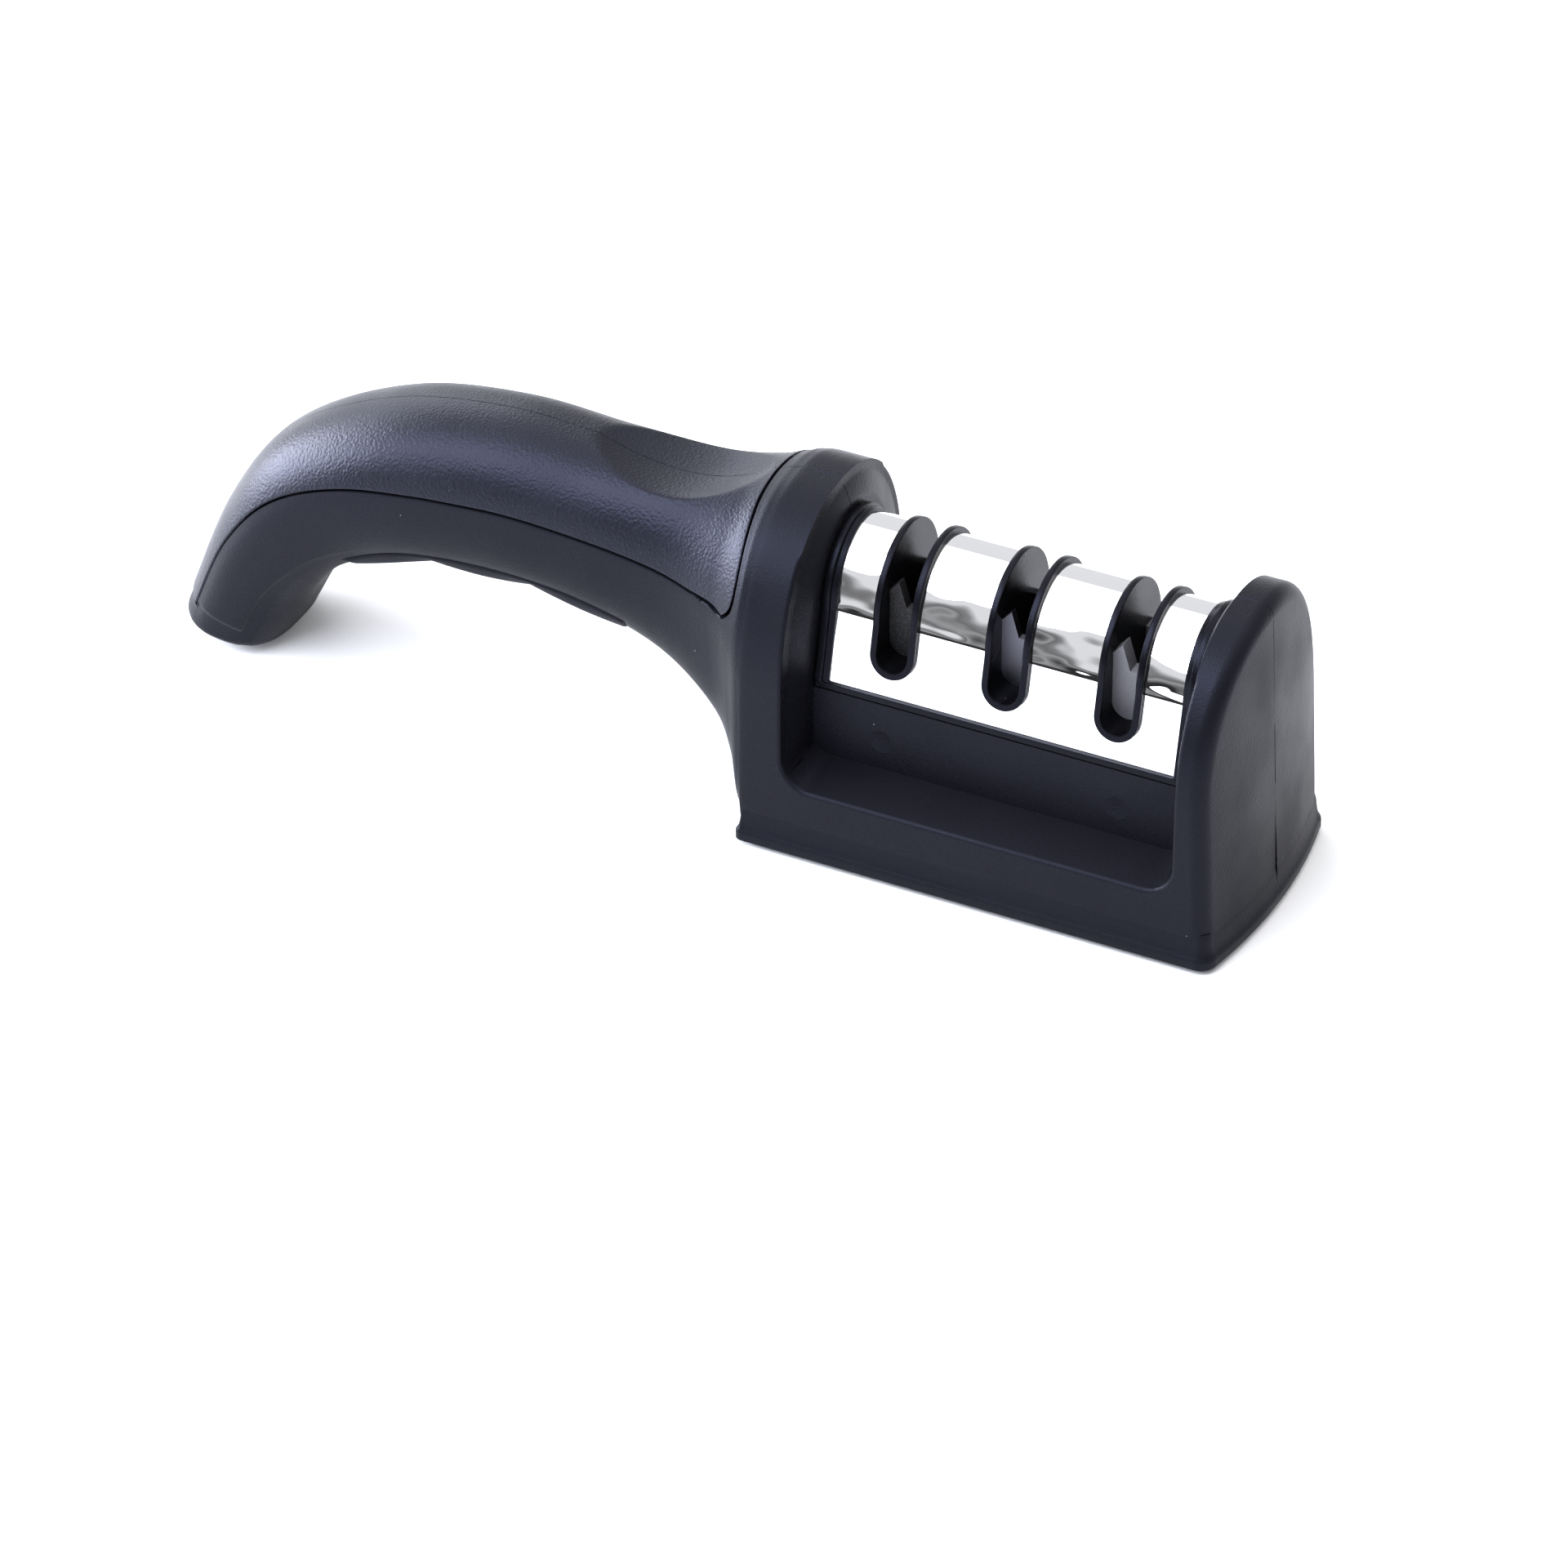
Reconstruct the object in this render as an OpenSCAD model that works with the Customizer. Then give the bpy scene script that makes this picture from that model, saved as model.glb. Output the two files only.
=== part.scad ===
// Pull-through knife sharpener: a moulded two-part housing with a curved handle,
// a lift-out sharpening head with three slots, and a non-slip pad under the base.
// Millimetres. +X points to the front end, the handle runs to -X, +Z is up.
// The origin is on the surface it stands on, under the middle slot.

/* [Base] */
// Width over the lip that runs round the foot of the base
base_w = 50; // [44:0.5:60]
// How far the lip stands out from the walls above it
lip_proud = 0.8; // [0.5:0.1:2]
// Height of the lip
lip_h = 2.7; // [1.5:0.1:5]
// How far the middle of the front end bows out past its corners
front_bow = 2.9; // [1:0.1:6]
// Backward lean of the front end over its height
front_lean = 2.8; // [0:0.1:6]
// Radius round the outer edge of the front end
nose_r = 2.6; // [1:0.1:4]
// Wall of the moulded housing
wall = 2.4; // [1.8:0.1:3]
// How far the non-slip pad stands below the lip
pad_proud = 1; // [0.5:0.1:2]

/* [Uprights] */
// Height of the upright next to the handle
rear_top = 63; // [60.5:0.5:72]
// Height of the front upright
front_top = 60.4; // [58.8:0.2:70]
// Thickness of the upright next to the handle
rear_t = 7.8; // [6.6:0.2:14]
// Thickness of the front upright at its edges
front_t = 6.6; // [6.4:0.2:14]

/* [Side recess] */
// Depth of each upright's hollow face, from its inner edge to the bay that the head stands in
cove_depth = 1.55; // [1.2:0.05:3]
// Height of the ledge where it meets the inner wall
ledge_z = 16.3; // [13:0.1:18]
// Fall of the ledge from the inner wall to the outside, in degrees
ledge_fall = 12.5; // [4:0.5:16]
// Corner radius between the ledge and the uprights
recess_r = 5.5; // [2:0.5:8]
// Top of the wall that the sharpening head stands in
wall_top = 29.5; // [28.6:0.1:31]

/* [Sharpening head] */
// Length of the head over its end flanges
head_l = 69; // [66:0.5:70]
// Thickness of the flange at each end of the head
flange_t = 2.5; // [1.5:0.1:4]
// Half the width of the cover at its lower edge
cover_foot = 13.9; // [13:0.1:15]
// Half the width of the cover where the flank meets the curved top
cover_hip = 11; // [9.5:0.1:12]
// Height of the flat flank of the cover
flank_h = 12.7; // [10:0.1:14]
// Height of the curved top of the cover
crown_h = 12.3; // [10:0.1:13.5]
// Thickness of the cover
cover_t = 0.5; // [0.3:0.1:0.8]
// Height of the foot rim between the housing wall and the cover
rim_h = 1.3; // [0.8:0.1:2]
// Distance between neighbouring slots as a share of the bright cover's length
slot_spread = 0.325; // [0.28:0.005:0.33]
// Clear width of a slot
slot_w = 5.7; // [4.6:0.1:7]
// Thickness of the collar round each slot
collar_t = 1.25; // [0.8:0.05:1.6]
// How far a collar stands out from the cover
collar_proud = 1; // [0.5:0.1:1.5]
// Height from the lower edge of the cover to the floor of a slot
slot_rise = 4.9; // [3:0.1:7]

/* [Sharpening elements] */
// Distance from the middle of the head to the middle of an element
element_y = 6.8; // [5:0.1:7.4]
// Thickness of a diamond-coated plate
diamond_t = 2; // [1:0.1:3]
// Thickness of a tungsten carbide blade
carbide_t = 1.6; // [1:0.1:3]
// Thickness of a ceramic plate
ceramic_t = 3; // [1:0.1:3.2]
// Height of an element's peak above the slot floor
element_h = 14.6; // [11:0.1:15.5]
// Length of the slanting edge, measured upright
edge_h = 4.9; // [3:0.1:7]
// Lean of the slanting edge from upright, in degrees
edge_lean = 16.6; // [12:0.2:24]
// How deep an element is moulded into each slot wall
element_grip = 1; // [0.5:0.1:1.5]

/* [Handle] */
// Reach of the handle behind the base
handle_reach = 120; // [105:1:140]
// Width of the grip
handle_w = 30; // [27:0.5:34]
// Thickness of the soft upper skin
skin_t = 1.6; // [1:0.1:2.2]
// Distance from the rear upright to the middle of the thumb hollow
thumb_back = 22; // [18:0.5:28]
// Depth of the thumb hollow
thumb_depth = 3; // [1:0.1:3.4]
// Length of the thumb hollow
thumb_l = 33; // [24:1:36]
// Width of the thumb hollow
thumb_w = 18; // [12:1:22]
// Depth of the seat of the finger pad under the handle
finger_seat = 1; // [0.6:0.1:1.6]
// Height of each soft wave of the finger pad
finger_wave = 1.2; // [0.6:0.1:2]
// Rounding of the tail end
tail_round = 3.5; // [3:0.5:6]

/* [Fasteners] */
// Radius of a moulded screw boss in the housing
boss_r = 3.6; // [3.4:0.1:4]
// Radius of a housing screw
screw_r = 1.45; // [1.2:0.05:1.6]
// Radius of a housing screw's head
screw_head_r = 2.7; // [2.2:0.1:2.8]
// Height of a screw head
screw_head_h = 1.8; // [1.2:0.1:2.2]
// Radius of the small screws in the base plate and the head
small_screw_r = 1.1; // [0.9:0.05:1.3]
// Radius of a small screw's head
small_head_r = 2.2; // [1.8:0.1:2.4]
// Thickness of the plate that closes the base
plate_t = 1.8; // [1.4:0.1:2.4]

/* [Clearances] */
// Gap round the head in its bay
bay_gap = 0.3; // [0.2:0.05:0.5]
// Gap under the head and under its rim
seat_gap = 0.2; // [0.1:0.05:0.3]
// Gap round a plate or pad in its rebate
rebate_gap = 0.2; // [0.1:0.05:0.3]
// Gap round a screw in its hole
screw_gap = 0.05; // [0.02:0.01:0.1]
// Gap round an element in its pocket
element_gap = 0.05; // [0.02:0.01:0.1]
// Gap between the soft skin or the finger pad and its seat
soft_gap = 0.06; // [0.04:0.01:0.2]

/* [Hidden] */
$fn = 48;

shell_black = [0.13, 0.13, 0.16];
skin_black = [0.10, 0.10, 0.13];
pad_black = [0.07, 0.07, 0.08];
bright = [0.86, 0.87, 0.89];
zinc = [0.55, 0.56, 0.58];
diamond_grey = [0.32, 0.32, 0.34];
carbide_grey = [0.5, 0.5, 0.52];
ceramic_white = [0.8, 0.8, 0.8];
far_out = 60;
eps = 0.01;

// Base and uprights
body_half = base_w / 2 - lip_proud;
lip_z0 = pad_proud;
// The walls start inside the lip, just above its underside
foot_in = 0.3;
bay_x = head_l / 2 + bay_gap;
inner_x = bay_x + cove_depth;
recess_l = 2 * inner_x;
rear_x = inner_x + rear_t;
front_x = inner_x + front_t;
rim_step = 0.7;
rim_over = 0.1;
rim_y = cover_foot + rim_step;
wall_y = rim_y - rim_over;
bay_y = wall_y - wall;
rim_z = wall_top + seat_gap;
cover_z = rim_z + rim_h;
bay_depth = 2.5;
bay_floor = wall_top - bay_depth;
head_z = bay_floor + seat_gap;
plate_step = 0.6;
plate_z = lip_z0 + plate_step;
cavity_z = plate_z + plate_t;

// Housing screws that cross the base, under the bay floor
base_cross_x = 22;
boss_sink = 0.9;
base_cross_z = bay_floor - wall - boss_r + boss_sink;
base_head_y = wall_y - screw_head_h - rebate_gap;
handle_head_y = 9.5;
screw_bite = 8.5;
small_head_h = 0.9;
plate_screw_l = 8;
hole_over = 0.5;
boss_cover = 1.2;
skin_cover = 0.4;
plate_boss_r = 3;
plate_screw_in = 4;
plate_screw_side = 7.5;
rebate_wall = 1.4;
rebate_inset = lip_proud + rebate_wall;
front_core_half = 12;
under_ledge_z = ledge_z - (body_half - wall_y) * tan(ledge_fall) - wall;

// Hollow faces of the uprights: how far each stands over the end of the head at its sides, top and foot,
// and how far its outer edge lies inside the upright's outline
cove_side = 1;
cove_over = 1.8;
cove_under = 3;
cove_edge = 0.7;
cove_sink = 0.3;

// Head
cover_l = head_l - 2 * flange_t;
slot_pitch = slot_spread * cover_l;
hip_z = cover_z + flank_h;
crown_z = hip_z + crown_h;
slot_floor = cover_z + slot_rise;
slot_mid_z = slot_floor + slot_w / 2;
slots = [-slot_pitch, 0, slot_pitch];
thicknesses = [diamond_t, carbide_t, ceramic_t];
collar_r = slot_w / 2 + collar_t;
foot_t = 1.6;
foot_y = bay_y - bay_gap;
core_z = head_z + foot_t;
slot_wall = 0.6;
core_middle = 1.6;
end_wall = 2;
pocket_half = slot_pitch / 2 - collar_r - slot_wall;
pocket_y = 8.5;
pocket_rise = 2;
pocket_top = hip_z + pocket_rise;
end_pocket_half = (head_l / 2 - slot_pitch - collar_r) / 2 - end_wall;
head_boss_r = 2.6;
boss_y = 5;
head_screw_l = 8;
head_screw_points = [for (x = [-1, 1], y = [-1, 1]) [x * slot_pitch / 2, y * boss_y]];

// Elements
edge_past = 0.3;
shoulder_slope = 48;
peak_z = slot_floor + element_h;
peak_x = edge_past - edge_h * tan(edge_lean);

// Handle: each row is a section of the grip, from the root inside the rear upright to the tail.
// Reach and height of its top, reach and height of its underside, half width, squareness below.
reach_k = handle_reach / 120;
width_k = handle_w / 30;
height_k = rear_top / 63;
root_step = 0.2;
root_half = body_half - root_step;
SECTIONS = [
    [-1.0, 62.8, -1.0, 2.5, root_half, 10],
    [1.5, 62.5, 1.0, 5.0, root_half * 0.9833, 9],
    [4.0, 61.6, 3.2, 11.0, root_half * 0.9083, 6],
    [8.5, 60.2, 8.8, 17.5, 18.6 * width_k, 4.6],
    [18.0, 58.9, 21.5, 24.2, 15.2 * width_k, 3.6],
    [36.0, 58.8, 38.0, 28.5, 14.3 * width_k, 3.2],
    [56.0, 59.2, 55.0, 29.5, 14.5 * width_k, 3.0],
    [78.0, 55.0, 71.5, 28.0, 15.0 * width_k, 3.0],
    [98.6, 43.9, 84.0, 22.5, 15.0 * width_k, 3.0],
    [109.8, 28.9, 92.5, 14.0, 14.9 * width_k, 2.8],
    [119.2, 5.6, 98.6, 2.9, 14.4 * width_k, 2.8]];
TOP_SQUARENESS = 2.2;
LAST = len(SECTIONS) - 1;
// Stations where the soft skin and the finger pad start and end
skin_start = 2.1;
pad_start = 4.4;
pad_end = 7.8;
waves = 3;
pad_base = 0.3;
// Angle from the crest of the skin's seam and of the pad's edge, by station
SEAM = [[0, 79], [2.5, 79], [3.5, 83], [6.2, 83.5], [6.8, 82], [7.3, 76], [7.8, 71], [8.8, 62.5], [9.5, 57], [10, 57]];
PAD_EDGE = [[0, 128], [4.4, 127], [5.5, 130], [7.8, 131], [10, 128]];
SKIN_SHARES = [0, 0.17, 0.34, 0.51, 0.67, 0.84];
SIDE_SHARES = [0.35, 0.7];
PAD_SHARES = [0.2, 0.45, 0.72, 1];
// How many degrees of the outline an edge of the skin or the pad stands off its seat's edge
edge_step = 1;
// Degrees over which a wave of the finger pad rises from its edge
wave_spread = 24;
thumb_x = -rear_x - thumb_back;
// Screws that cross the handle, as stations along it
handle_cross = [4.9, 7.1, 8.9];

// A smooth curve through the rows of a table
function spline(rows, t) =
    let (n = len(rows) - 1, i = min(floor(t), n - 1), f = t - i,
        p1 = rows[i], p2 = rows[i + 1],
        p0 = i > 0 ? rows[i - 1] : 2 * p1 - p2,
        p3 = i + 2 <= n ? rows[i + 2] : 2 * p2 - p1)
    0.5 * (2 * p1 + (p2 - p0) * f + (2 * p0 - 5 * p1 + 4 * p2 - p3) * f * f
        + (3 * p1 - p0 - 3 * p2 + p3) * f * f * f);

function power(v, p) = sign(v) * pow(abs(v), p);

// One point of a section: a is the angle from the crest, inset moves it inwards,
// and turn, from 0 to 90, rounds the section off past the tail.
function section_point(top, under, half, squareness, a, inset, turn = 0) =
    let (up = (top - under) / norm(top - under),
        mid = (top + under) / 2 + [-up[1], up[0]] * tail_round * sin(turn),
        e = 2 / (cos(a) > 0 ? TOP_SQUARENESS : squareness),
        side = (half * cos(turn) - inset) * power(sin(a), e),
        rise = (norm(top - under) / 2 * cos(turn) - inset) * power(cos(a), e))
    [mid[0] + up[0] * rise, -side, mid[1] + up[1] * rise];

// The thumb hollow lowers the top of the grip inside an ellipse
function thumb_drop(p) =
    thumb_depth * max(0, 1 - pow((p[0] - thumb_x) / (thumb_l / 2), 2) - pow(p[1] / (thumb_w / 2), 2));

function grip_point(s, a, inset, turn = 0, lift = 0) =
    let (r = spline(SECTIONS, s),
        top = [-rear_x - r[0] * reach_k, r[1] * height_k],
        under = [-rear_x - r[2] * reach_k, r[3] * height_k + lift],
        p = section_point(top, under, r[4], r[5], a, inset, turn))
    a < 90 ? p - [0, 0, thumb_drop(p)] : p;

function mirrored(p) = [p[0], -p[1], p[2]];

// How deep the skin and the finger pad are let into the housing at a station
function skin_in(s, turn) = s >= skin_start && turn == 0 ? skin_t : 0;
function pad_in(s) = s >= pad_start && s <= pad_end ? finger_seat : 0;
function pad_out(s, a) =
    let (v = (s - pad_start) / (pad_end - pad_start), rise = min(1, (a - lookup(s, PAD_EDGE)) / wave_spread))
    pad_base + finger_wave * abs(sin(180 * waves * v)) * rise;

// Angles of a ring at a station: over the skin, down the side, and over the finger pad
function skin_angles(s) = let (k = lookup(s, SEAM)) concat([for (f = SKIN_SHARES) f * k], [k - edge_step]);
function side_angles(s) =
    let (k = lookup(s, SEAM) + edge_step, p = lookup(s, PAD_EDGE) - edge_step)
    concat([k, (k + 90) / 2, 90], [for (f = SIDE_SHARES) 90 + f * (p - 90)], [p]);
function pad_angles(s) = let (p = lookup(s, PAD_EDGE)) concat([p + edge_step], [for (f = PAD_SHARES) p + f * (180 - p)]);
function all_angles(s) =
    concat(skin_angles(s), [lookup(s, SEAM)], side_angles(s), [lookup(s, PAD_EDGE)], pad_angles(s));

// Half outline of the grip on the near side, from the crest to the underside
function grip_ring(s, inset = 0, turn = 0, lift = 0) = concat(
    [for (a = concat(skin_angles(s), [lookup(s, SEAM)])) grip_point(s, a, inset + skin_in(s, turn), turn, lift)],
    [for (a = side_angles(s)) grip_point(s, a, inset, turn, lift)],
    [for (a = concat([lookup(s, PAD_EDGE)], pad_angles(s))) grip_point(s, a, inset + pad_in(s), turn, lift)]);

// Half outline of the base and uprights at a length x
function body_ring(x, top, inset = 0, squareness = 12) =
    [for (a = all_angles(0)) section_point([x, top], [x, lip_z0 + foot_in], body_half, squareness, a, inset)];

// The front end: bowed across its width and leaning back over its height
function bow(ring, depth) =
    [for (p = ring) [front_x - depth + front_bow * (1 - pow(p[1] / (base_w / 2), 2))
        - front_lean * p[2] / front_top, p[1], p[2]]];
function nose_ring(inset, depth) = bow(body_ring(0, front_top, inset), depth);

// Stations of the grip, closer together where it flares into the base
root_stations = [0.7, 1, 1.5, 2];
grip_stations = [2.1, 2.5, 3, 3.5, 4, 4.35, 4.4, 4.7, 5, 5.3, 5.6, 5.9, 6.2, 6.5, 6.8, 7.1, 7.4, 7.8, 7.85, 8.2,
    8.6, 9, 9.4, 9.7, 10];
tail_turns = [14, 34, 54, 72];
// Rings on the flat of the front end, as shares of half its width
NOSE_SHARES = [0.83, 0.54, 0.29];

// A solid through a row of closed rings with the same number of points. Where a ring runs the other way round
// than the one it lies on, crossed lays the triangles' long edges as they lie there.
module loft(rings, crossed = false) {
    n = len(rings[0]);
    m = len(rings);
    polyhedron(
        points = [for (r = rings) each r],
        faces = concat(
            [[for (j = [n - 1:-1:0]) j]],
            [for (i = [0:m - 2], j = [0:n - 1]) let (a = i * n + j, b = i * n + (j + 1) % n)
                each crossed ? [[a, b, b + n], [a, b + n, a + n]] : [[a, b, a + n], [b, b + n, a + n]]],
            [[for (j = [0:n - 1]) (m - 1) * n + j]]));
}

// Housing

// One solid from the front end to the tail, drawn past the parting plane for the halves to be cut there
module housing_outside() {
    rings = concat(
        [for (f = NOSE_SHARES) nose_ring(f * body_half, 0)],
        [for (t = [90:-30:0]) nose_ring(nose_r * (1 - cos(t)), nose_r * (1 - sin(t)))],
        [body_ring(inner_x, front_top), body_ring(inner_x - 8, front_top)],
        [body_ring(-inner_x + 8, rear_top), body_ring(-rear_x, rear_top)],
        [for (s = root_stations) grip_ring(s)],
        [for (s = grip_stations) grip_ring(s)],
        [for (t = tail_turns) grip_ring(LAST, 0, t)]);
    loft([for (r = rings) past_parting(r)]);
}

// A half outline carried past the parting plane
function past_parting(ring) = concat(
    [[ring[0][0], 1, ring[0][2]]], ring,
    [[ring[len(ring) - 1][0], 1, ring[len(ring) - 1][2]]]);
function root_lift(s) = s < 4 ? wall * (4 - s) / 3 : 0;

module housing_hollow() {
    loft(concat(
        [for (x = [-inner_x - wall, -rear_x]) past_parting(body_ring(x, rear_top, wall))],
        [for (s = [1, 1.5, 2]) past_parting(grip_ring(s, wall, 0, root_lift(s)))],
        [for (s = grip_stations) if (s < 9.5) past_parting(grip_ring(s, wall, 0, root_lift(s)))]));
}

// A pocket that keeps the front upright from being solid plastic
module front_hollow() {
    translate([bay_x + wall, -front_core_half, cavity_z])
        cube([front_x + front_bow / 2 - front_lean - bay_x - 2 * wall, front_core_half + 1,
            front_top - 2 * wall - cavity_z]);
}

// Plan of the base inset from the lip's edge, just past the parting plane or over both halves
module base_plan(inset, whole = false) {
    half = base_w / 2 - inset;
    rear = -rear_x - lip_proud + inset;
    polygon(concat(
        [[rear, whole ? half : 1], [rear, -half]],
        [for (i = [-8:whole ? 8 : 1]) let (y = whole || i < 1 ? half * i / 8 : 1)
            [front_x + lip_proud - inset + front_bow * (1 - pow(y / (base_w / 2), 2)), y]]));
}

module lip() {
    translate([0, 0, lip_z0]) linear_extrude(lip_h - lip_proud / 2) base_plan(0);
    translate([0, 0, lip_z0]) linear_extrude(lip_h) base_plan(lip_proud / 2);
}

// Outline of the side recess seen from the side, with round lower corners
module recess_outline() {
    for (s = [-1, 1]) translate([s * (inner_x - recess_r), recess_r]) circle(recess_r);
    translate([-inner_x + recess_r, 0]) square([recess_l - 2 * recess_r, far_out]);
    translate([-inner_x, recess_r]) square([recess_l, far_out]);
}

module side_recess() {
    intersection() {
        translate([0, -wall_y, ledge_z]) rotate([90 + ledge_fall, 0, 0])
            translate([0, 0, -10]) linear_extrude(far_out) recess_outline();
        translate([-far_out, -far_out - wall_y, 0]) cube([2 * far_out, far_out, 2 * far_out]);
    }
}

function section_ring(top, under, half, squareness) =
    [for (a = all_angles(0)) section_point(top, under, half, squareness, a, 0)];

// The hollow face of the upright on one side, which slopes in to the end of the head
module cove(side) {
    top = side < 0 ? rear_top : front_top;
    inside = [for (p = section_ring([0, crown_z + cove_over], [0, ledge_z - cove_under], rim_y + cove_side, 12))
        p + [bay_x * side, 0, 0]];
    outside = body_ring((inner_x + cove_sink) * side, top, cove_edge);
    loft(side < 0 ? [inside, outside] : [outside, inside]);
}

// Where the housing screws cross: place along and up, and half the width there
function cross_point(s) = let (r = spline(SECTIONS, s))
    [-rear_x - (r[0] + r[2]) / 2 * reach_k, (r[1] + r[3]) / 2 * height_k, r[4]];
base_cross = [for (side = [-1, 1]) [side * base_cross_x, base_cross_z, wall_y]];
handle_points = [for (s = handle_cross) cross_point(s)];
plate_points = [for (x = [-1, 1], y = [-1, 1])
    [x * (inner_x - plate_screw_in), y * (body_half - plate_screw_side)]];

// A cylinder across the housing, from one distance off the parting plane to another
module across(point, r, from, to) {
    translate([point[0], -from, point[1]]) rotate([90, 0, 0]) cylinder(h = to - from, r = r);
}

module housing_half() {
    difference() {
        union() {
            difference() {
                union() {
                    housing_outside();
                    lip();
                }
                translate([-4 * far_out, 0, -1]) cube([6 * far_out, far_out, 2 * far_out]);
                housing_hollow();
                front_hollow();
                translate([-inner_x, -far_out, wall_top]) cube([recess_l, far_out + 1, far_out]);
                side_recess();
                translate([-bay_x, -bay_y, bay_floor]) cube([2 * bay_x, bay_y + 1, far_out]);
                // Space over the base plate, and the deeper space under the head's bay
                translate([-rear_x + wall, -body_half + wall, 0])
                    cube([rear_x + front_x - 2 * wall, body_half - wall + 1, under_ledge_z]);
                translate([-inner_x - wall, -bay_y, 0]) cube([recess_l + 2 * wall, bay_y + 1, bay_floor - wall]);
            }
            for (side = [-1, 1]) cove(side);
            for (p = base_cross) across(p, boss_r, 0, wall_y - boss_cover);
            for (p = handle_points) across(p, boss_r, 0, p[2] - skin_t - skin_cover);
            for (p = plate_points) if (p[1] < 0)
                translate([p[0], p[1], plate_z]) cylinder(h = under_ledge_z + 1 - plate_z, r = plate_boss_r);
        }
        translate([0, 0, -1]) linear_extrude(cavity_z + 1) base_plan(rebate_inset);
        for (p = plate_points) if (p[1] < 0)
            translate([p[0], p[1], cavity_z - 1]) cylinder(h = plate_screw_l, r = small_screw_r + screw_gap);
    }
}

module housing_near() {
    color(shell_black) difference() {
        housing_half();
        for (p = concat(base_cross, handle_points)) across(p, screw_r + screw_gap, -1, screw_bite + hole_over);
    }
}

module housing_far() {
    color(shell_black) mirror([0, 1, 0]) difference() {
        housing_half();
        for (p = base_cross) {
            across(p, screw_r + screw_gap, -1, far_out);
            across(p, screw_head_r + rebate_gap, base_head_y, far_out);
        }
        for (p = handle_points) {
            across(p, screw_r + screw_gap, -1, far_out);
            across(p, screw_head_r + rebate_gap, handle_head_y, far_out);
        }
    }
}

// One screw, from its tip in the near half to its head in the far half
module housing_screw(point, head_y) {
    mirror([0, 1, 0]) {
        across(point, screw_r, -screw_bite, head_y + eps);
        across(point, screw_head_r, head_y, head_y + screw_head_h);
    }
}

module housing_screws() {
    color(zinc) {
        for (p = base_cross) housing_screw(p, base_head_y);
        for (p = handle_points) housing_screw(p, handle_head_y);
    }
}

module grip_skin_half() {
    loft([for (s = grip_stations) let (angles = skin_angles(s)) concat(
        [for (a = angles) grip_point(s, a, 0)],
        [for (i = [len(angles) - 1:-1:0]) grip_point(s, angles[i], skin_t - soft_gap)])], true);
}
module grip_skin_near() color(skin_black) grip_skin_half();
module grip_skin_far() color(skin_black) mirror([0, 1, 0]) grip_skin_half();

module finger_pad() {
    color(skin_black) loft([for (s = grip_stations) if (s >= pad_start && s <= pad_end)
        let (half = pad_angles(s), n = len(half)) concat(
            [for (a = half) grip_point(s, a, -pad_out(s, a))],
            [for (i = [n - 2:-1:0]) mirrored(grip_point(s, half[i], -pad_out(s, half[i])))],
            [for (a = half) if (a < 180) mirrored(grip_point(s, a, finger_seat - soft_gap))],
            [for (i = [n - 1:-1:0]) grip_point(s, half[i], finger_seat - soft_gap)])]);
}

module base_plate() {
    color(shell_black) translate([0, 0, plate_z]) difference() {
        linear_extrude(plate_t) base_plan(rebate_inset + rebate_gap, true);
        for (p = plate_points) translate([p[0], p[1], -1]) {
            cylinder(h = far_out, r = small_screw_r + screw_gap);
            cylinder(h = 1 + small_head_h, r = small_head_r + screw_gap);
        }
    }
}

module base_pad() {
    color(pad_black) linear_extrude(plate_z) base_plan(rebate_inset + rebate_gap, true);
}

module small_screw(length) {
    cylinder(h = small_head_h, r = small_head_r);
    cylinder(h = length, r = small_screw_r);
}

module base_screws() {
    color(zinc) for (p = plate_points) translate([p[0], p[1], plate_z]) small_screw(plate_screw_l - hole_over);
}

// Sharpening head

// Half outline of the head over its cover, from the crest down, moved out by a distance
function head_outline(out) = concat(
    [for (a = [90:-7.5:0]) [-(cover_hip + out) * cos(a), hip_z + (crown_h + out) * sin(a)]],
    [[-cover_foot - out, cover_z]]);

module head_section(out, length, foot = 0) {
    translate([-length / 2, 0, 0]) rotate([90, 0, 90]) linear_extrude(length)
        polygon(concat(head_outline(out), [[-cover_foot - out, cover_z - foot], [0, cover_z - foot]]));
}

// A slot seen from the side: straight walls and a round floor, open at the top
module slot_shape(r, low, high) {
    translate([0, -low, 0]) rotate([90, 0, 0]) linear_extrude(high - low) {
        translate([0, slot_mid_z]) circle(r);
        translate([-r, slot_mid_z]) square([2 * r, far_out]);
    }
}

// An element seen along the knife: a peak by one slot wall and one slanting edge down past the middle
module element(thickness, gap = 0) {
    w = slot_w / 2 + element_grip + gap;
    translate([0, -element_y + thickness / 2 + gap, 0]) rotate([90, 0, 0]) linear_extrude(thickness + 2 * gap)
        polygon([[-w, slot_floor - element_grip - gap], [w, slot_floor - element_grip - gap],
            [w, peak_z - edge_h + gap], [edge_past + gap, peak_z - edge_h + gap], [peak_x + gap, peak_z + gap],
            [peak_x - gap, peak_z + gap], [-w, peak_z + gap - (w + peak_x) * tan(shoulder_slope)]]);
}

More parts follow.
